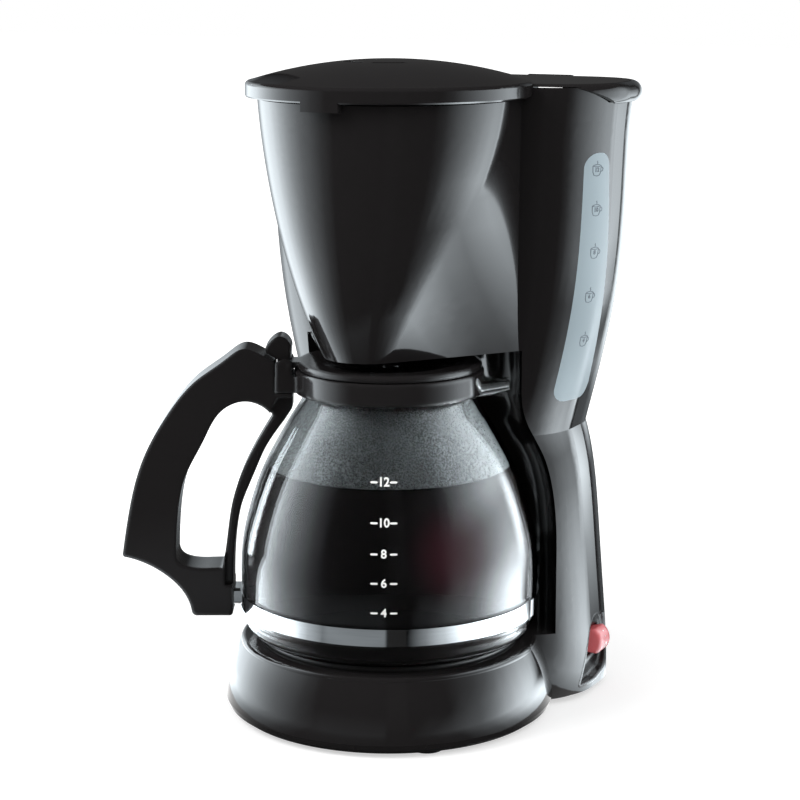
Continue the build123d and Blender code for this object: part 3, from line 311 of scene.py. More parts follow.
def distance_to(tree, add, point):
    """Distance from a point, on the object's own coordinates."""
    coords = add("ShaderNodeTexCoord")
    apart = add("ShaderNodeVectorMath", operation="DISTANCE")
    apart.inputs[1].default_value = point
    tree.links.new(coords.outputs["Object"], apart.inputs[0])
    return apart.outputs["Value"]


def spread(tree, add, source, reach, onto, kind="LINEAR"):
    """A level carried from one range onto another."""
    span = add("ShaderNodeMapRange", interpolation_type=kind)
    for socket, value in zip(("From Min", "From Max", "To Min", "To Max"), (*reach, *onto)):
        span.inputs[socket].default_value = value
    tree.links.new(source, span.inputs["Value"])
    return span.outputs["Result"]


def ramp(tree, add, source, low, high):
    """The middle of a noise turned into a number between low and high."""
    return spread(tree, add, source, (0.3, 0.7), (low, high))


def tint(tree, add, source, first, second):
    """A colour between two, led by a level."""
    mix = add("ShaderNodeMix", data_type="RGBA")
    tree.links.new(source, mix.inputs["Factor"])
    for socket in mix.inputs:
        if socket.type == "RGBA":
            socket.default_value = (*(first if socket.name == "A" else second), 1)
    return next(out for out in mix.outputs if out.type == "RGBA")


def bump(tree, add, shader, source, strength, distance, edge=0.0):
    """Small relief from a level, over edges that look rounded to the radius edge."""
    relief = add("ShaderNodeBump")
    relief.inputs["Strength"].default_value = strength
    relief.inputs["Distance"].default_value = distance
    tree.links.new(source, relief.inputs["Height"])
    if edge:
        rounded = add("ShaderNodeBevel", samples=6)
        rounded.inputs["Radius"].default_value = edge
        tree.links.new(rounded.outputs["Normal"], relief.inputs["Normal"])
    tree.links.new(relief.outputs["Normal"], shader.inputs["Normal"])


def moulded(name, colour, rough, grain, grain_scale, ior, edge=0.0):
    """Moulded plastic: slight change of tone, patchy gloss, a moulding grain and soft edges."""
    material, tree, shader, add = start_material(name)
    tone = noise(tree, add, 22.0)
    lighter = tuple(1.15 * part for part in colour)
    tree.links.new(tint(tree, add, tone, colour, lighter), shader.inputs["Base Color"])
    smudge = noise(tree, add, 9.0, 6.0, 0.6)
    tree.links.new(ramp(tree, add, smudge, rough * 0.8, rough * 1.25), shader.inputs["Roughness"])
    shader.inputs["IOR"].default_value = ior
    bump(tree, add, shader, noise(tree, add, grain_scale, 2.0), grain, 0.0004, edge)
    return material


def metal(name, colour, rough, scratch_scale):
    """Bare metal with a fine drawn grain."""
    material, tree, shader, add = start_material(name)
    coords = add("ShaderNodeTexCoord")
    stretch = add("ShaderNodeMapping")
    stretch.inputs["Scale"].default_value = (1.0, 1.0, 14.0)
    grain = add("ShaderNodeTexNoise", scale=scratch_scale, detail=3.0)
    tree.links.new(coords.outputs["Object"], stretch.inputs["Vector"])
    tree.links.new(stretch.outputs["Vector"], grain.inputs["Vector"])
    streaks = grain.outputs["Fac"]
    darker = tuple(0.82 * part for part in colour)
    tree.links.new(tint(tree, add, streaks, darker, colour), shader.inputs["Base Color"])
    tree.links.new(ramp(tree, add, streaks, rough * 0.7, rough * 1.3), shader.inputs["Roughness"])
    shader.inputs["Metallic"].default_value = 1.0
    return material


def dress(material, *nodes):
    """Give a material to CAD nodes."""
    for node in nodes:
        mesh = NODES[node].data
        mesh.materials.clear()
        mesh.materials.append(material)
        for face in mesh.polygons:
            face.material_index = 0


def plain_mesh(name, made, material):
    """A mesh object at the origin, from a bmesh, with one material."""
    mesh = bpy.data.meshes.new(name)
    made.to_mesh(mesh)
    made.free()
    mesh.materials.append(material)
    piece = bpy.data.objects.new(name, mesh)
    bpy.context.scene.collection.objects.link(piece)
    return piece


def smooth(piece):
    """Smooth shading all over."""
    for face in piece.data.polygons:
        face.use_smooth = True


# Measures taken from the frame


def glass_radius(height, inside):
    """Radius of the carafe's wall at a height, clear of its pouring lip and marks."""
    carafe = NODES["carafe_glass"]
    heading = Vector((math.cos(FACING), math.sin(FACING), 0))
    start = Vector((*BREW, height))
    if not inside:
        start = start + heading * RAY_OUT
        heading = -heading
    found, place, _, _ = carafe.ray_cast(start, heading)
    if not found:
        raise RuntimeError("the carafe's wall was not met")
    return math.hypot(place.x - BREW[0], place.y - BREW[1])


def around(reach, angle, height):
    """A point at a reach and an angle about the brew axis."""
    return (BREW[0] + reach * math.cos(angle), BREW[1] + reach * math.sin(angle), height)


def turn_profile(profile, steps, closed=False):
    """A bmesh turned about the brew axis from pairs of radius and height."""
    made = bmesh.new()
    rings = []
    for radius, height in profile:
        if radius < 1e-6:
            rings.append([made.verts.new((*BREW, height))])
            continue
        angles = [2 * math.pi * step / steps for step in range(steps)]
        rings.append([made.verts.new(around(radius, angle, height)) for angle in angles])
    pairs = list(zip(rings, rings[1:]))
    if closed:
        pairs.append((rings[-1], rings[0]))
    for low, high in pairs:
        for step in range(steps):
            after = (step + 1) % steps
            if len(low) == 1:
                made.faces.new((low[0], high[after], high[step]))
            elif len(high) == 1:
                made.faces.new((low[step], low[after], high[0]))
            else:
                made.faces.new((low[step], low[after], high[after], high[step]))
    bmesh.ops.recalc_face_normals(made, faces=made.faces)
    return made


def text_bmesh(words, height, depth):
    """Flat lettering of a given height as a bmesh, centred, with a little thickness."""
    curve = bpy.data.curves.new("lettering", "FONT")
    curve.body = words
    curve.align_x = "CENTER"
    curve.align_y = "CENTER"
    curve.size = height / FIGURE_SHARE
    curve.extrude = depth
    curve.offset = height * FIGURE_WEIGHT
    curve.resolution_u = 6
    holder = bpy.data.objects.new("lettering", curve)
    bpy.context.scene.collection.objects.link(holder)
    bpy.context.view_layer.update()
    mesh = bpy.data.meshes.new_from_object(holder.evaluated_get(bpy.context.evaluated_depsgraph_get()))
    made = bmesh.new()
    made.from_mesh(mesh)
    bpy.data.objects.remove(holder)
    bpy.data.curves.remove(curve)
    bpy.data.meshes.remove(mesh)
    bmesh.ops.remove_doubles(made, verts=made.verts, dist=height * FIGURE_MERGE)
    return made


def join_bmesh(target, other, place):
    """Add a copy of one bmesh to another, with each point moved by place(point)."""
    other.verts.index_update()
    known = {}
    for vert in other.verts:
        known[vert.index] = target.verts.new(place(vert.co))
    for face in other.faces:
        target.faces.new([known[vert.index] for vert in face.verts])
    other.free()


def close_tube(made, rings):
    """Faces along a row of four-cornered rings, with both ends closed."""
    for low, high in zip(rings, rings[1:]):
        for side in range(4):
            after = (side + 1) % 4
            made.faces.new((low[side], high[side], high[after], low[after]))
    made.faces.new(rings[0])
    made.faces.new(list(reversed(rings[-1])))


def bar_bmesh(length, thick, depth, pieces):
    """A straight bar along x with round-ish ends, cut into pieces so that it can bend."""
    made = bmesh.new()
    rings = []
    for step in range(pieces + 1):
        share = step / pieces
        end = min(share, 1 - share) * length
        half = thick / 2 * (0.55 if end < 1e-9 else 1.0)
        at = (share - 0.5) * length
        corners = ((-half, -depth), (half, -depth), (half, depth), (-half, depth))
        rings.append([made.verts.new((at, y, z)) for y, z in corners])
    close_tube(made, rings)
    bmesh.ops.recalc_face_normals(made, faces=made.faces)
    return made


def mug_bmesh(size, depth):
    """Outline of a small mug with a handle, as flat strokes."""
    made = bmesh.new()
    up = Vector((0, 0, depth))
    for line in MUG_LINES:
        points = [Vector((x * size, y * size, 0)) for x, y in line]
        rings = []
        for place, point in enumerate(points):
            before, after = points[max(place - 1, 0)], points[min(place + 1, len(points) - 1)]
            run = (after - before).normalized()
            side = Vector((-run.y, run.x, 0)) * size * MUG_STROKE / 2
            corners = (point - side - up, point + side - up, point + side + up, point - side + up)
            rings.append([made.verts.new(corner) for corner in corners])
        close_tube(made, rings)
    bmesh.ops.recalc_face_normals(made, faces=made.faces)
    return made


def on_right_side(node, point, back, up, lift):
    """Where a point of ink lands on a piece that is looked at from the right."""
    start = Vector((RAY_RIGHT, back + point.x, up + point.y))
    found, place, _, _ = node.ray_cast(start, Vector((-1, 0, 0)))
    if not found:
        raise RuntimeError("a printed mark is off " + node.name)
    return place + Vector((lift + point.z, 0, 0))


# Operators


class BREWER_OT_mouldings(bpy.types.Operator):
    """Finish the moulded bodies, lid and inner pieces"""

    bl_idname = "brewer.mouldings"
    bl_label = "Mouldings"

    def execute(self, context):
        finish = context.scene.brewer_finish
        gloss = moulded("gloss_black_plastic", finish.gloss_black, 0.07, 0.006, 900.0, 1.42)
        satin = moulded("satin_black_plastic", finish.satin_black, 0.13, 0.012, 1100.0, 1.42, 0.0028)
        matt = moulded("matt_black_plastic", finish.matt_black, 0.42, 0.10, 1500.0, 1.45)
        dress(gloss, "lower_body", "upper_body", "brew_housing", "lid")
        dress(satin, "carafe_handle", "carafe_collar", "carafe_lid", "switch_bezel")
        dress(matt, "bottom_plate", "filter_basket", "shower_head", "drip_valve", "tank_strainer")
        dress(matt, "switch_body", "thermostat")
        rubber = moulded("black_rubber", (0.012, 0.012, 0.012), 0.7, 0.15, 1800.0, 1.45)
        dress(rubber, "rubber_feet", "plate_gasket", "valve_seal", "cord_grommet")
        milky = moulded("milky_silicone", (0.5, 0.5, 0.47), 0.45, 0.05, 800.0, 1.41)
        dress(milky, "inlet_hose", "riser_hose", "one_way_valve")
        coat = moulded("plate_coating", (0.02, 0.02, 0.02), 0.36, 0.12, 2200.0, 1.5)
        dress(coat, "warming_plate")
        return {"FINISHED"}


class BREWER_OT_metals(bpy.types.Operator):
    """Finish the carafe's band, tubes, screws, pins and spring"""

    bl_idname = "brewer.metals"
    bl_label = "Metals"

    def execute(self, context):
        dress(metal("polished_band", (0.86, 0.87, 0.88), 0.07, 60.0), "carafe_band")
        dress(metal("drawn_aluminium", (0.72, 0.73, 0.74), 0.32, 120.0), "heater_tube", "riser_tube")
        zinc = metal("zinc_plate", (0.58, 0.59, 0.6), 0.28, 200.0)
        dress(zinc, "plate_screws", "body_screws", "clamp_screw", "band_screw", "valve_spring")
        dress(zinc, "heater_clamp", "hose_clips", "thermal_fuses")
        dress(metal("dark_pins", (0.05, 0.05, 0.052), 0.35, 200.0), "lid_pins", "carafe_lid_pin")
        dress(metal("blued_rod", (0.2, 0.21, 0.23), 0.4, 150.0), "heating_rod")
        return {"FINISHED"}


class BREWER_OT_valve_spring(bpy.types.Operator):
    """Copy the valve's spring with its doubled points merged, so that it rides with the valve"""

    bl_idname = "brewer.valve_spring"
    bl_label = "Valve spring"

    def execute(self, context):
        solid = NODES["valve_spring"]
        made = bmesh.new()
        made.from_mesh(solid.data)
        bmesh.ops.remove_doubles(made, verts=made.verts, dist=1e-6)
        spring = plain_mesh("drip_spring", made, solid.data.materials[0])
        smooth(spring)
        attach(spring, "drip_valve")
        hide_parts("valve_spring")
        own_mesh(spring)
        return {"FINISHED"}


class BREWER_OT_clear_pieces(bpy.types.Operator):
    """Finish the glass, the water window and the lit rocker"""

    bl_idname = "brewer.clear_pieces"
    bl_label = "Clear pieces"

    def execute(self, context):
        finish = context.scene.brewer_finish
        glass, tree, shader, add = start_material("blown_glass")
        shader.inputs["Base Color"].default_value = (0.985, 0.99, 0.99, 1)
        shader.inputs["Transmission Weight"].default_value = 1.0
        shader.inputs["IOR"].default_value = 1.3
        wave = noise(tree, add, 14.0, 2.0)
        tree.links.new(ramp(tree, add, noise(tree, add, 30.0), 0.0, 0.012), shader.inputs["Roughness"])
        bump(tree, add, shader, wave, 0.03, 0.002)
        dress(glass, "carafe_glass")

        window, tree, shader, add = start_material("frosted_window")
        tone = noise(tree, add, 30.0)
        paler = tuple(1.04 * part for part in finish.window_tint)
        tree.links.new(tint(tree, add, tone, finish.window_tint, paler), shader.inputs["Base Color"])
        tree.links.new(ramp(tree, add, noise(tree, add, 400.0), 0.3, 0.32), shader.inputs["Roughness"])
        shader.inputs["Specular IOR Level"].default_value = 0.3
        dress(window, "water_window")

        red, tree, shader, add = start_material("lit_rocker")
        tone = noise(tree, add, 60.0)
        paler = (0.72, 0.32, 0.31)
        tree.links.new(tint(tree, add, tone, finish.rocker_red, paler), shader.inputs["Base Color"])
        tree.links.new(ramp(tree, add, noise(tree, add, 300.0), 0.14, 0.24), shader.inputs["Roughness"])
        shader.inputs["Subsurface Weight"].default_value = 0.3
        shader.inputs["Subsurface Radius"].default_value = (0.006, 0.002, 0.002)
        shader.inputs["Emission Color"].default_value = (1.0, 0.1, 0.12, 1)
        shader.inputs["Emission Strength"].default_value = 0.12
        bump(tree, add, shader, noise(tree, add, 500.0), 0.01, 0.0004, 0.003)
        dress(red, "switch_rocker")
        return {"FINISHED"}


class BREWER_OT_coffee(bpy.types.Operator):
    """Fill the carafe with coffee"""

    bl_idname = "brewer.coffee"
    bl_label = "Coffee"

    def execute(self, context):
        finish = context.scene.brewer_finish
        sizes = context.scene.brewer_sizes
        liquid, tree, shader, add = start_material("black_coffee")
        stain = (0.62, 0.54, 0.54)
        darker = tuple(0.9 * part for part in stain)
        tree.links.new(tint(tree, add, noise(tree, add, 12.0), stain, darker), shader.inputs["Base Color"])
        shader.inputs["Roughness"].default_value = 0.0
        shader.inputs["IOR"].default_value = 1.15
        shader.inputs["Transmission Weight"].default_value = 0.93
        # A faint painted red glow on the right, an emission in place of light that leaks through the coffee.
        apart = distance_to(tree, add, (BREW[0] + PAINTED_GLOW_AT[0], BREW[1] + PAINTED_GLOW_AT[1], PAINTED_GLOW_AT[2]))
        painted_glow = spread(tree, add, apart, PAINTED_GLOW_REACH, (0.0, PAINTED_GLOW_LEVEL), "SMOOTHSTEP")
        shader.inputs["Emission Color"].default_value = (1.0, 0.16, 0.3, 1)
        tree.links.new(painted_glow, shader.inputs["Emission Strength"])
        depth = add("ShaderNodeVolumeAbsorption")
        depth.inputs["Color"].default_value = (*finish.coffee, 1)
        depth.inputs["Density"].default_value = 260.0
        tree.links.new(depth.outputs["Volume"], tree.nodes["Material Output"].inputs["Volume"])
        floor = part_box("carafe_glass")[0][2] + GLASS_FLOOR
        level = sizes.coffee_level
        profile = [(0, floor), (COFFEE_FLAT, floor)]
        for step in range(math.ceil((level - floor) / COFFEE_STEP)):
            height = floor + step * COFFEE_STEP
            profile.append((glass_radius(height + COFFEE_GAP, True) - COFFEE_GAP, height))
        rim = glass_radius(level + COFFEE_RIM[0][1], True) - COFFEE_GAP
        profile += [(rim - inwards, level + rise) for inwards, rise in COFFEE_RIM]
        profile.append((0, level))
        coffee = plain_mesh("coffee", turn_profile(profile, TURN_STEPS), liquid)
        smooth(coffee)
        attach(coffee, "carafe")
        return {"FINISHED"}


def drop_tree(material, seed):
    """Node tree that scatters flat drops of water over a surface."""
    tree = bpy.data.node_groups.new("scatter_drops", "GeometryNodeTree")
    face = tree.interface
    face.new_socket("Geometry", in_out="INPUT", socket_type="NodeSocketGeometry")
    for name in ("Drops per square metre", "Least radius", "Most radius"):
        face.new_socket(name, in_out="INPUT", socket_type="NodeSocketFloat")
    face.new_socket("Geometry", in_out="OUTPUT", socket_type="NodeSocketGeometry")
    new, link = tree.nodes.new, tree.links.new
    into, out = new("NodeGroupInput"), new("NodeGroupOutput")
    points = new("GeometryNodeDistributePointsOnFaces")
    points.inputs["Seed"].default_value = seed
    link(into.outputs["Geometry"], points.inputs["Mesh"])
    link(into.outputs["Drops per square metre"], points.inputs["Density"])
    ball = new("GeometryNodeMeshIcoSphere")
    ball.inputs["Radius"].default_value = 1.0
    ball.inputs["Subdivisions"].default_value = 2
    flat = new("GeometryNodeTransform")
    flat.inputs["Scale"].default_value = (1.0, 1.0, 0.4)
    link(ball.outputs["Mesh"], flat.inputs["Geometry"])
    size = new("FunctionNodeRandomValue")
    size.data_type = "FLOAT"
    size.inputs["Seed"].default_value = seed + 1
    sockets = [socket for socket in size.inputs if socket.type == "VALUE"]
    link(into.outputs["Least radius"], sockets[0])
    link(into.outputs["Most radius"], sockets[1])
    place = new("GeometryNodeInstanceOnPoints")
    link(points.outputs["Points"], place.inputs["Points"])
    link(points.outputs["Rotation"], place.inputs["Rotation"])
    link(flat.outputs["Geometry"], place.inputs["Instance"])
    link(next(o for o in size.outputs if o.type == "VALUE"), place.inputs["Scale"])
    real = new("GeometryNodeRealizeInstances")
    finish = new("GeometryNodeSetMaterial")
    finish.inputs["Material"].default_value = material
    link(place.outputs["Instances"], real.inputs["Geometry"])
    link(real.outputs["Geometry"], finish.inputs["Geometry"])
    link(finish.outputs["Geometry"], out.inputs["Geometry"])
    return tree


class BREWER_OT_mist(bpy.types.Operator):
    """Mist the inside of the glass over the coffee"""

    bl_idname = "brewer.mist"
    bl_label = "Mist"

    def execute(self, context):
        sizes = context.scene.brewer_sizes
        veil, tree, shader, add = start_material("water_mist")
        shader.inputs["Base Color"].default_value = (0.5, 0.53, 0.53, 1)
        shader.inputs["Roughness"].default_value = 0.6
        fine = noise(tree, add, 1100.0, 1.0, 0.5)
        wide = noise(tree, add, 45.0, 3.0, 0.5)
        both = add("ShaderNodeMath", operation="MULTIPLY")
        tree.links.new(spread(tree, add, fine, (0.4, 0.62), (0.35, 1.0)), both.inputs[0])
        tree.links.new(ramp(tree, add, wide, 0.45, 0.85), both.inputs[1])
        tree.links.new(both.outputs["Value"], shader.inputs["Alpha"])
        low, high = sizes.coffee_level + MIST_START, sizes.mist_top
        heights = [low + (high - low) * step / MIST_STEPS for step in range(MIST_STEPS + 1)]
        radii = [glass_radius(height, True) for height in heights]
        outer, inner, seat = (
            [(radius - gap, height) for radius, height in zip(radii, heights)]
            for gap in (MIST_OUTER, MIST_INNER, DROP_SEAT)
        )
        mist = plain_mesh("glass_mist", turn_profile(outer + inner[::-1], TURN_STEPS, closed=True), veil)
        smooth(mist)
        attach(mist, "carafe")

        water, tree, shader, add = start_material("water_drop")
        shader.inputs["Base Color"].default_value = (0.95, 0.96, 0.96, 1)
        shader.inputs["Transmission Weight"].default_value = 1.0
        shader.inputs["IOR"].default_value = 1.33
        tree.links.new(ramp(tree, add, noise(tree, add, 200.0), 0.0, 0.05), shader.inputs["Roughness"])
        # The drops keep clear of both ends of the mist.
        holder = plain_mesh("glass_drops", turn_profile(seat[2:-4], SEAT_STEPS), water)
        scatter = drop_tree(water, DROP_SEED)
        modifier = holder.modifiers.new("drops", "NODES")
        modifier.node_group = scatter
        area = 2 * math.pi * MIST_RADIUS * (high - low)
        values = {
            "Drops per square metre": sizes.drop_count / area,
            "Least radius": DROP_RADII[0],
            "Most radius": DROP_RADII[1],
        }
        for socket in scatter.interface.items_tree:
            if socket.name in values:
                modifier[socket.identifier] = values[socket.name]
        shape = bpy.data.meshes.new_from_object(holder.evaluated_get(context.evaluated_depsgraph_get()))
        holder.modifiers.clear()
        holder.data = shape
        smooth(holder)
        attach(holder, "carafe")
        return {"FINISHED"}


class BREWER_OT_carafe_marks(bpy.types.Operator):
    """Print the cup marks on the carafe"""

    bl_idname = "brewer.carafe_marks"
    bl_label = "Carafe marks"

    def execute(self, context):
        finish = context.scene.brewer_finish
        sizes = context.scene.brewer_sizes
        ink = moulded("white_ink", tuple(finish.print_white), 0.5, 0.02, 900.0, 1.45)
        made = bmesh.new()
        depth = sizes.print_depth / 2
        for words, height in CARAFE_MARKS:
            pieces = [(text_bmesh(words, sizes.mark_height, depth), 0.0)]
            for side in (-1, 1):
                pieces.append((bar_bmesh(BAR_LENGTH, BAR_THICK, depth, BAR_PIECES), side * BAR_ASIDE))
            for shape, across in pieces:

                def on_glass(point, across=across, height=height):
                    up = height * MM + point.y
                    radius = glass_radius(up, False) + sizes.print_depth * INK_LIFT + point.z
                    return around(radius, FACING + (CARAFE_MARKS_ASIDE + across + point.x) / radius, up)

                join_bmesh(made, shape, on_glass)
        printed = plain_mesh("carafe_cup_marks", made, ink)
        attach(printed, "carafe")
        return {"FINISHED"}


class BREWER_OT_window_marks(bpy.types.Operator):
    """Print small mugs with cup numbers on the water window"""

    bl_idname = "brewer.window_marks"
    bl_label = "Window marks"

    def execute(self, context):
        finish = context.scene.brewer_finish
        sizes = context.scene.brewer_sizes
        ink = moulded("grey_ink", tuple(finish.print_grey), 0.5, 0.02, 900.0, 1.45)
        pane = NODES["water_window"]
        made = bmesh.new()
        depth = sizes.print_depth / 2
        for words, rear, height in WINDOW_MARKS:
            for shape in (mug_bmesh(MUG_SIZE, depth), text_bmesh(words, MUG_NUMBER, depth)):

                def on_pane(point, rear=rear, height=height):
                    lift = sizes.print_depth * INK_LIFT
                    return on_right_side(pane, point, BREW[1] + rear * MM, height * MM, lift)

                join_bmesh(made, shape, on_pane)
        printed = plain_mesh("window_cup_marks", made, ink)
        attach(printed, "machine")
        return {"FINISHED"}


class BREWER_OT_rocker_marks(bpy.types.Operator):
    """Print the on and off signs on the rocker"""

    bl_idname = "brewer.rocker_marks"
    bl_label = "Rocker marks"

    def execute(self, context):
        finish = context.scene.brewer_finish
        sizes = context.scene.brewer_sizes
        ink = moulded("rocker_ink", tuple(finish.print_white), 0.4, 0.02, 900.0, 1.45)
        rocker = NODES["switch_rocker"]
        low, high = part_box("switch_rocker")
        middle = ((low[1] + high[1]) / 2, (low[2] + high[2]) / 2)
        made = bmesh.new()
        for words, rise in ROCKER_SIGNS:
            shape = text_bmesh(words, ROCKER_SIGN_HEIGHT, sizes.print_depth / 2)

            def on_rocker(point, rise=rise):
                lift = sizes.print_depth * INK_LIFT
                return on_right_side(rocker, point, middle[0], middle[1] + rise * MM, lift)

            join_bmesh(made, shape, on_rocker)
        printed = plain_mesh("rocker_signs", made, ink)
        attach(printed, "rocker")
        return {"FINISHED"}


def turn_level(tree, add, level):
    """A level on the floor that is dark in front and straight behind, and full at both sides."""
    coords = add("ShaderNodeTexCoord")
    flat = add("ShaderNodeVectorMath", operation="SUBTRACT")
    flat.inputs[1].default_value = (*BREW, 0)
    tree.links.new(coords.outputs["Object"], flat.inputs[0])
    heading = add("ShaderNodeVectorMath", operation="NORMALIZE")
    tree.links.new(flat.outputs["Vector"], heading.inputs[0])
    along = add("ShaderNodeVectorMath", operation="DOT_PRODUCT")
    along.inputs[1].default_value = (-math.cos(FACING), -math.sin(FACING), 0)
    tree.links.new(heading.outputs["Vector"], along.inputs[0])
    curve = add("ShaderNodeFloatCurve")
    points = curve.mapping.curves[0].points
    points[0].location, points[1].location = (0.0, 0.01), (1.0, 0.03)
    for place, height in ((0.07, 0.01), (0.2, 0.04), (0.55, 0.8), (0.9, 1.0), (0.945, 0.06)):
        points.new(place, height)
    curve.mapping.update()
    share = spread(tree, add, along.outputs["Value"], (-1.0, 1.0), (0.0, 1.0))
    tree.links.new(share, curve.inputs["Value"])
    scaled = add("ShaderNodeMath", operation="MULTIPLY")
    scaled.inputs[1].default_value = level
    tree.links.new(curve.outputs["Value"], scaled.inputs[0])
    return scaled.outputs["Value"]


def level_at(curve, place):
    """Level of a curve of straight steps at a place, and nothing beyond its ends."""
    for (first, low), (last, high) in zip(curve, curve[1:]):
        if min(first, last) <= place <= max(first, last):
            return low + (high - low) * (place - first) / (last - first)
    return 0.0


def light_wall(name, panels, scale):
    """A glowing wall round part of the object, which adds up its panels."""
    made = bmesh.new()
    glow = made.verts.layers.float.new("glow")
    columns = []
    for turn in sorted({place for curve, _ in panels for place, _ in curve}):
        angle = FACING + math.radians(turn)
        column = []
        for row, (reach, height) in enumerate(WALL_ROWS):
            vert = made.verts.new(around(reach, angle, height))
            vert[glow] = scale * sum(level_at(curve, turn) * shares[row] for curve, shares in panels)
            column.append(vert)
        columns.append(column)
    for one, other in zip(columns, columns[1:]):
        for row in range(len(WALL_ROWS) - 1):
            made.faces.new((one[row], other[row], other[row + 1], one[row + 1]))
    material, tree, _, add = start_material(name)
    shine = add("ShaderNodeEmission")
    shine.inputs["Color"].default_value = (*WALL_TINT, 1)
    value = add("ShaderNodeAttribute", attribute_name="glow")
    tree.links.new(value.outputs["Fac"], shine.inputs["Strength"])
    tree.links.new(shine.outputs["Emission"], tree.nodes["Material Output"].inputs["Surface"])
    return plain_mesh(name, made, material)


def lay_floor(sizes):
    """Pale paper that keeps the object's shadow. Reflections see it lit at the sides only."""
    paper, tree, shader, add = start_material("pale_paper")
    shader.inputs["Base Color"].default_value = (0.6, 0.6, 0.6, 1)
    shader.inputs["Roughness"].default_value = 0.9
    shader.inputs["Specular IOR Level"].default_value = 0.0
    shader.inputs["Emission Color"].default_value = (1, 1, 1, 1)
    path = add("ShaderNodeLightPath")
    # The camera sees the paper grow to white away from the object, so that only the shadow shows.
    apart = distance_to(tree, add, (*BREW, 0))
    level = add("ShaderNodeMath", operation="MULTIPLY")
    tree.links.new(spread(tree, add, apart, PAPER_REACH, (sizes.paper_glow, 1.0)), level.inputs[0])
    tree.links.new(path.outputs["Is Camera Ray"], level.inputs[1])
    tree.links.new(level.outputs["Value"], shader.inputs["Emission Strength"])
    mirrored = add("ShaderNodeEmission")
    tree.links.new(turn_level(tree, add, sizes.floor_mirror), mirrored.inputs["Strength"])
    bounced = add("ShaderNodeMath", operation="MAXIMUM")
    tree.links.new(path.outputs["Is Glossy Ray"], bounced.inputs[0])
    tree.links.new(path.outputs["Is Transmission Ray"], bounced.inputs[1])
    choose = add("ShaderNodeMixShader")
    tree.links.new(bounced.outputs["Value"], choose.inputs["Fac"])
    tree.links.new(shader.outputs["BSDF"], choose.inputs[1])
    tree.links.new(mirrored.outputs["Emission"], choose.inputs[2])
    tree.links.new(choose.outputs["Shader"], tree.nodes["Material Output"].inputs["Surface"])
    made = bmesh.new()
    bmesh.ops.create_grid(made, x_segments=4, y_segments=4, size=FLOOR_HALF)
    plain_mesh("floor", made, paper)


def raise_walls(sizes):
    """Curved light walls that only reflections see."""
    for name, panels in (("left_wall", LEFT_PANELS), ("right_wall", RIGHT_PANELS)):
        wall = light_wall(name, panels, sizes.wall_level)
        wall.visible_camera = wall.visible_diffuse = wall.visible_shadow = False


def hang_lamps(scene, sizes):
    """Plain lamps for the colours, which the mirror-like faces don't show."""
    for name, turn, rise, size, watts in LAMPS:
        angle, lift = FACING + math.radians(turn), math.radians(rise)
        heading = Vector((math.cos(angle) * math.cos(lift), math.sin(angle) * math.cos(lift), math.sin(lift)))
        lamp = bpy.data.lights.new(name, "AREA")
        lamp.size = size
        lamp.energy = watts * sizes.lamp_level
        holder = bpy.data.objects.new(name, lamp)
        holder.location = Vector((*BREW, LAMP_AIM_HEIGHT)) + LAMP_AWAY * heading
        holder.rotation_euler = (-heading).to_track_quat("-Z", "Y").to_euler()
        holder.visible_glossy = holder.visible_transmission = False
        scene.collection.objects.link(holder)


def light_world(scene, sizes):
    """White behind the object for the camera and through glass. Reflections see a dim sky."""
    world = bpy.data.worlds.new("studio")
    scene.world = world
    world.use_nodes = True
    tree = world.node_tree
    add = adder(tree)
    coords = add("ShaderNodeTexCoord")
    ahead = add("ShaderNodeVectorMath", operation="DOT_PRODUCT")
    ahead.inputs[1].default_value = (-math.cos(FACING), -math.sin(FACING), 0)
    tree.links.new(coords.outputs["Generated"], ahead.inputs[0])
    behind = spread(tree, add, ahead.outputs["Value"], AHEAD_REACH, (sizes.sky_level, 1.0))
    path = add("ShaderNodeLightPath")
    last = sizes.ambience
    kinds = (("Is Glossy Ray", sizes.sky_level), ("Is Transmission Ray", behind), ("Is Camera Ray", 1.0))
    for kind, level in kinds:
        mix = add("ShaderNodeMix")
        tree.links.new(path.outputs[kind], mix.inputs["Factor"])
        for socket, value in (("A", last), ("B", level)):
            if isinstance(value, float):
                mix.inputs[socket].default_value = value
            else:
                tree.links.new(value, mix.inputs[socket])
        last = mix.outputs["Result"]
    back = tree.nodes["Background"]
    back.inputs["Color"].default_value = (1, 1, 1, 1)
    tree.links.new(last, back.inputs["Strength"])


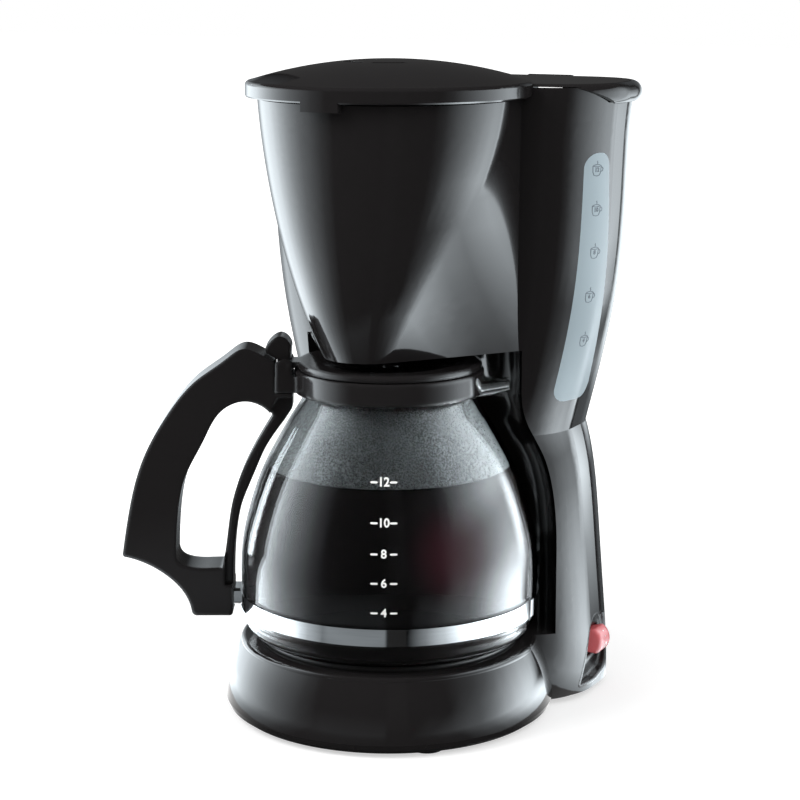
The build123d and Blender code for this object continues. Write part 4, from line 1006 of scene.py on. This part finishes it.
def place_camera(scene, sizes):
    """The camera at the photograph's viewing angle."""
    camera = bpy.data.cameras.new("photo_camera")
    camera.lens = sizes.lens
    camera.sensor_width = SENSOR_WIDTH
    camera.dof.use_dof = False
    holder = bpy.data.objects.new("photo_camera", camera)
    right = Vector((math.cos(VIEW_TURN), math.sin(VIEW_TURN), 0))
    ahead = Vector((-math.sin(VIEW_TURN), math.cos(VIEW_TURN), 0))
    holder.location = Vector((*BREW, CAMERA_HEIGHT)) - CAMERA_AWAY * ahead + CAMERA_SIDE * right
    aim = math.cos(CAMERA_TILT) * ahead - math.sin(CAMERA_TILT) * Vector((0, 0, 1))
    holder.rotation_euler = aim.to_track_quat("-Z", "Y").to_euler()
    scene.collection.objects.link(holder)
    scene.camera = holder
    scene.view_settings.view_transform = "Standard"


class BREWER_OT_stage(bpy.types.Operator):
    """Set the floor, light walls, lamps, world and camera"""

    bl_idname = "brewer.stage"
    bl_label = "Stage"

    def execute(self, context):
        scene, sizes = context.scene, context.scene.brewer_sizes
        lay_floor(sizes)
        raise_walls(sizes)
        hang_lamps(scene, sizes)
        light_world(scene, sizes)
        place_camera(scene, sizes)
        return {"FINISHED"}


class BREWER_PT_panel(bpy.types.Panel):
    """Sidebar panel with every step of the coffee maker"""

    bl_idname = "BREWER_PT_panel"
    bl_label = "Coffee maker"
    bl_space_type = "VIEW_3D"
    bl_region_type = "UI"
    bl_category = "Brewer"

    def draw(self, context):
        column = self.layout.column()
        for group in (context.scene.brewer_finish, context.scene.brewer_sizes):
            for name in group.__annotations__:
                column.prop(group, name)
        for step in STEPS:
            column.operator(step.bl_idname)


STEPS = (
    BREWER_OT_mouldings,
    BREWER_OT_metals,
    BREWER_OT_valve_spring,
    BREWER_OT_clear_pieces,
    BREWER_OT_coffee,
    BREWER_OT_mist,
    BREWER_OT_carafe_marks,
    BREWER_OT_window_marks,
    BREWER_OT_rocker_marks,
    BREWER_OT_stage,
)
CLASSES = (BrewerFinish, BrewerSizes, *STEPS, BREWER_PT_panel)


def register():
    """Register the classes and their settings."""
    for part in CLASSES:
        bpy.utils.register_class(part)
    bpy.types.Scene.brewer_finish = bpy.props.PointerProperty(type=BrewerFinish)
    bpy.types.Scene.brewer_sizes = bpy.props.PointerProperty(type=BrewerSizes)


def unregister():
    """Remove the settings and the classes."""
    del bpy.types.Scene.brewer_sizes
    del bpy.types.Scene.brewer_finish
    for part in reversed(CLASSES):
        bpy.utils.unregister_class(part)


def main():
    """Register the classes, then run every step."""
    register()
    for step in STEPS:
        group, name = step.bl_idname.split(".")
        getattr(getattr(bpy.ops, group), name)()


if __name__ == "__main__":
    main()
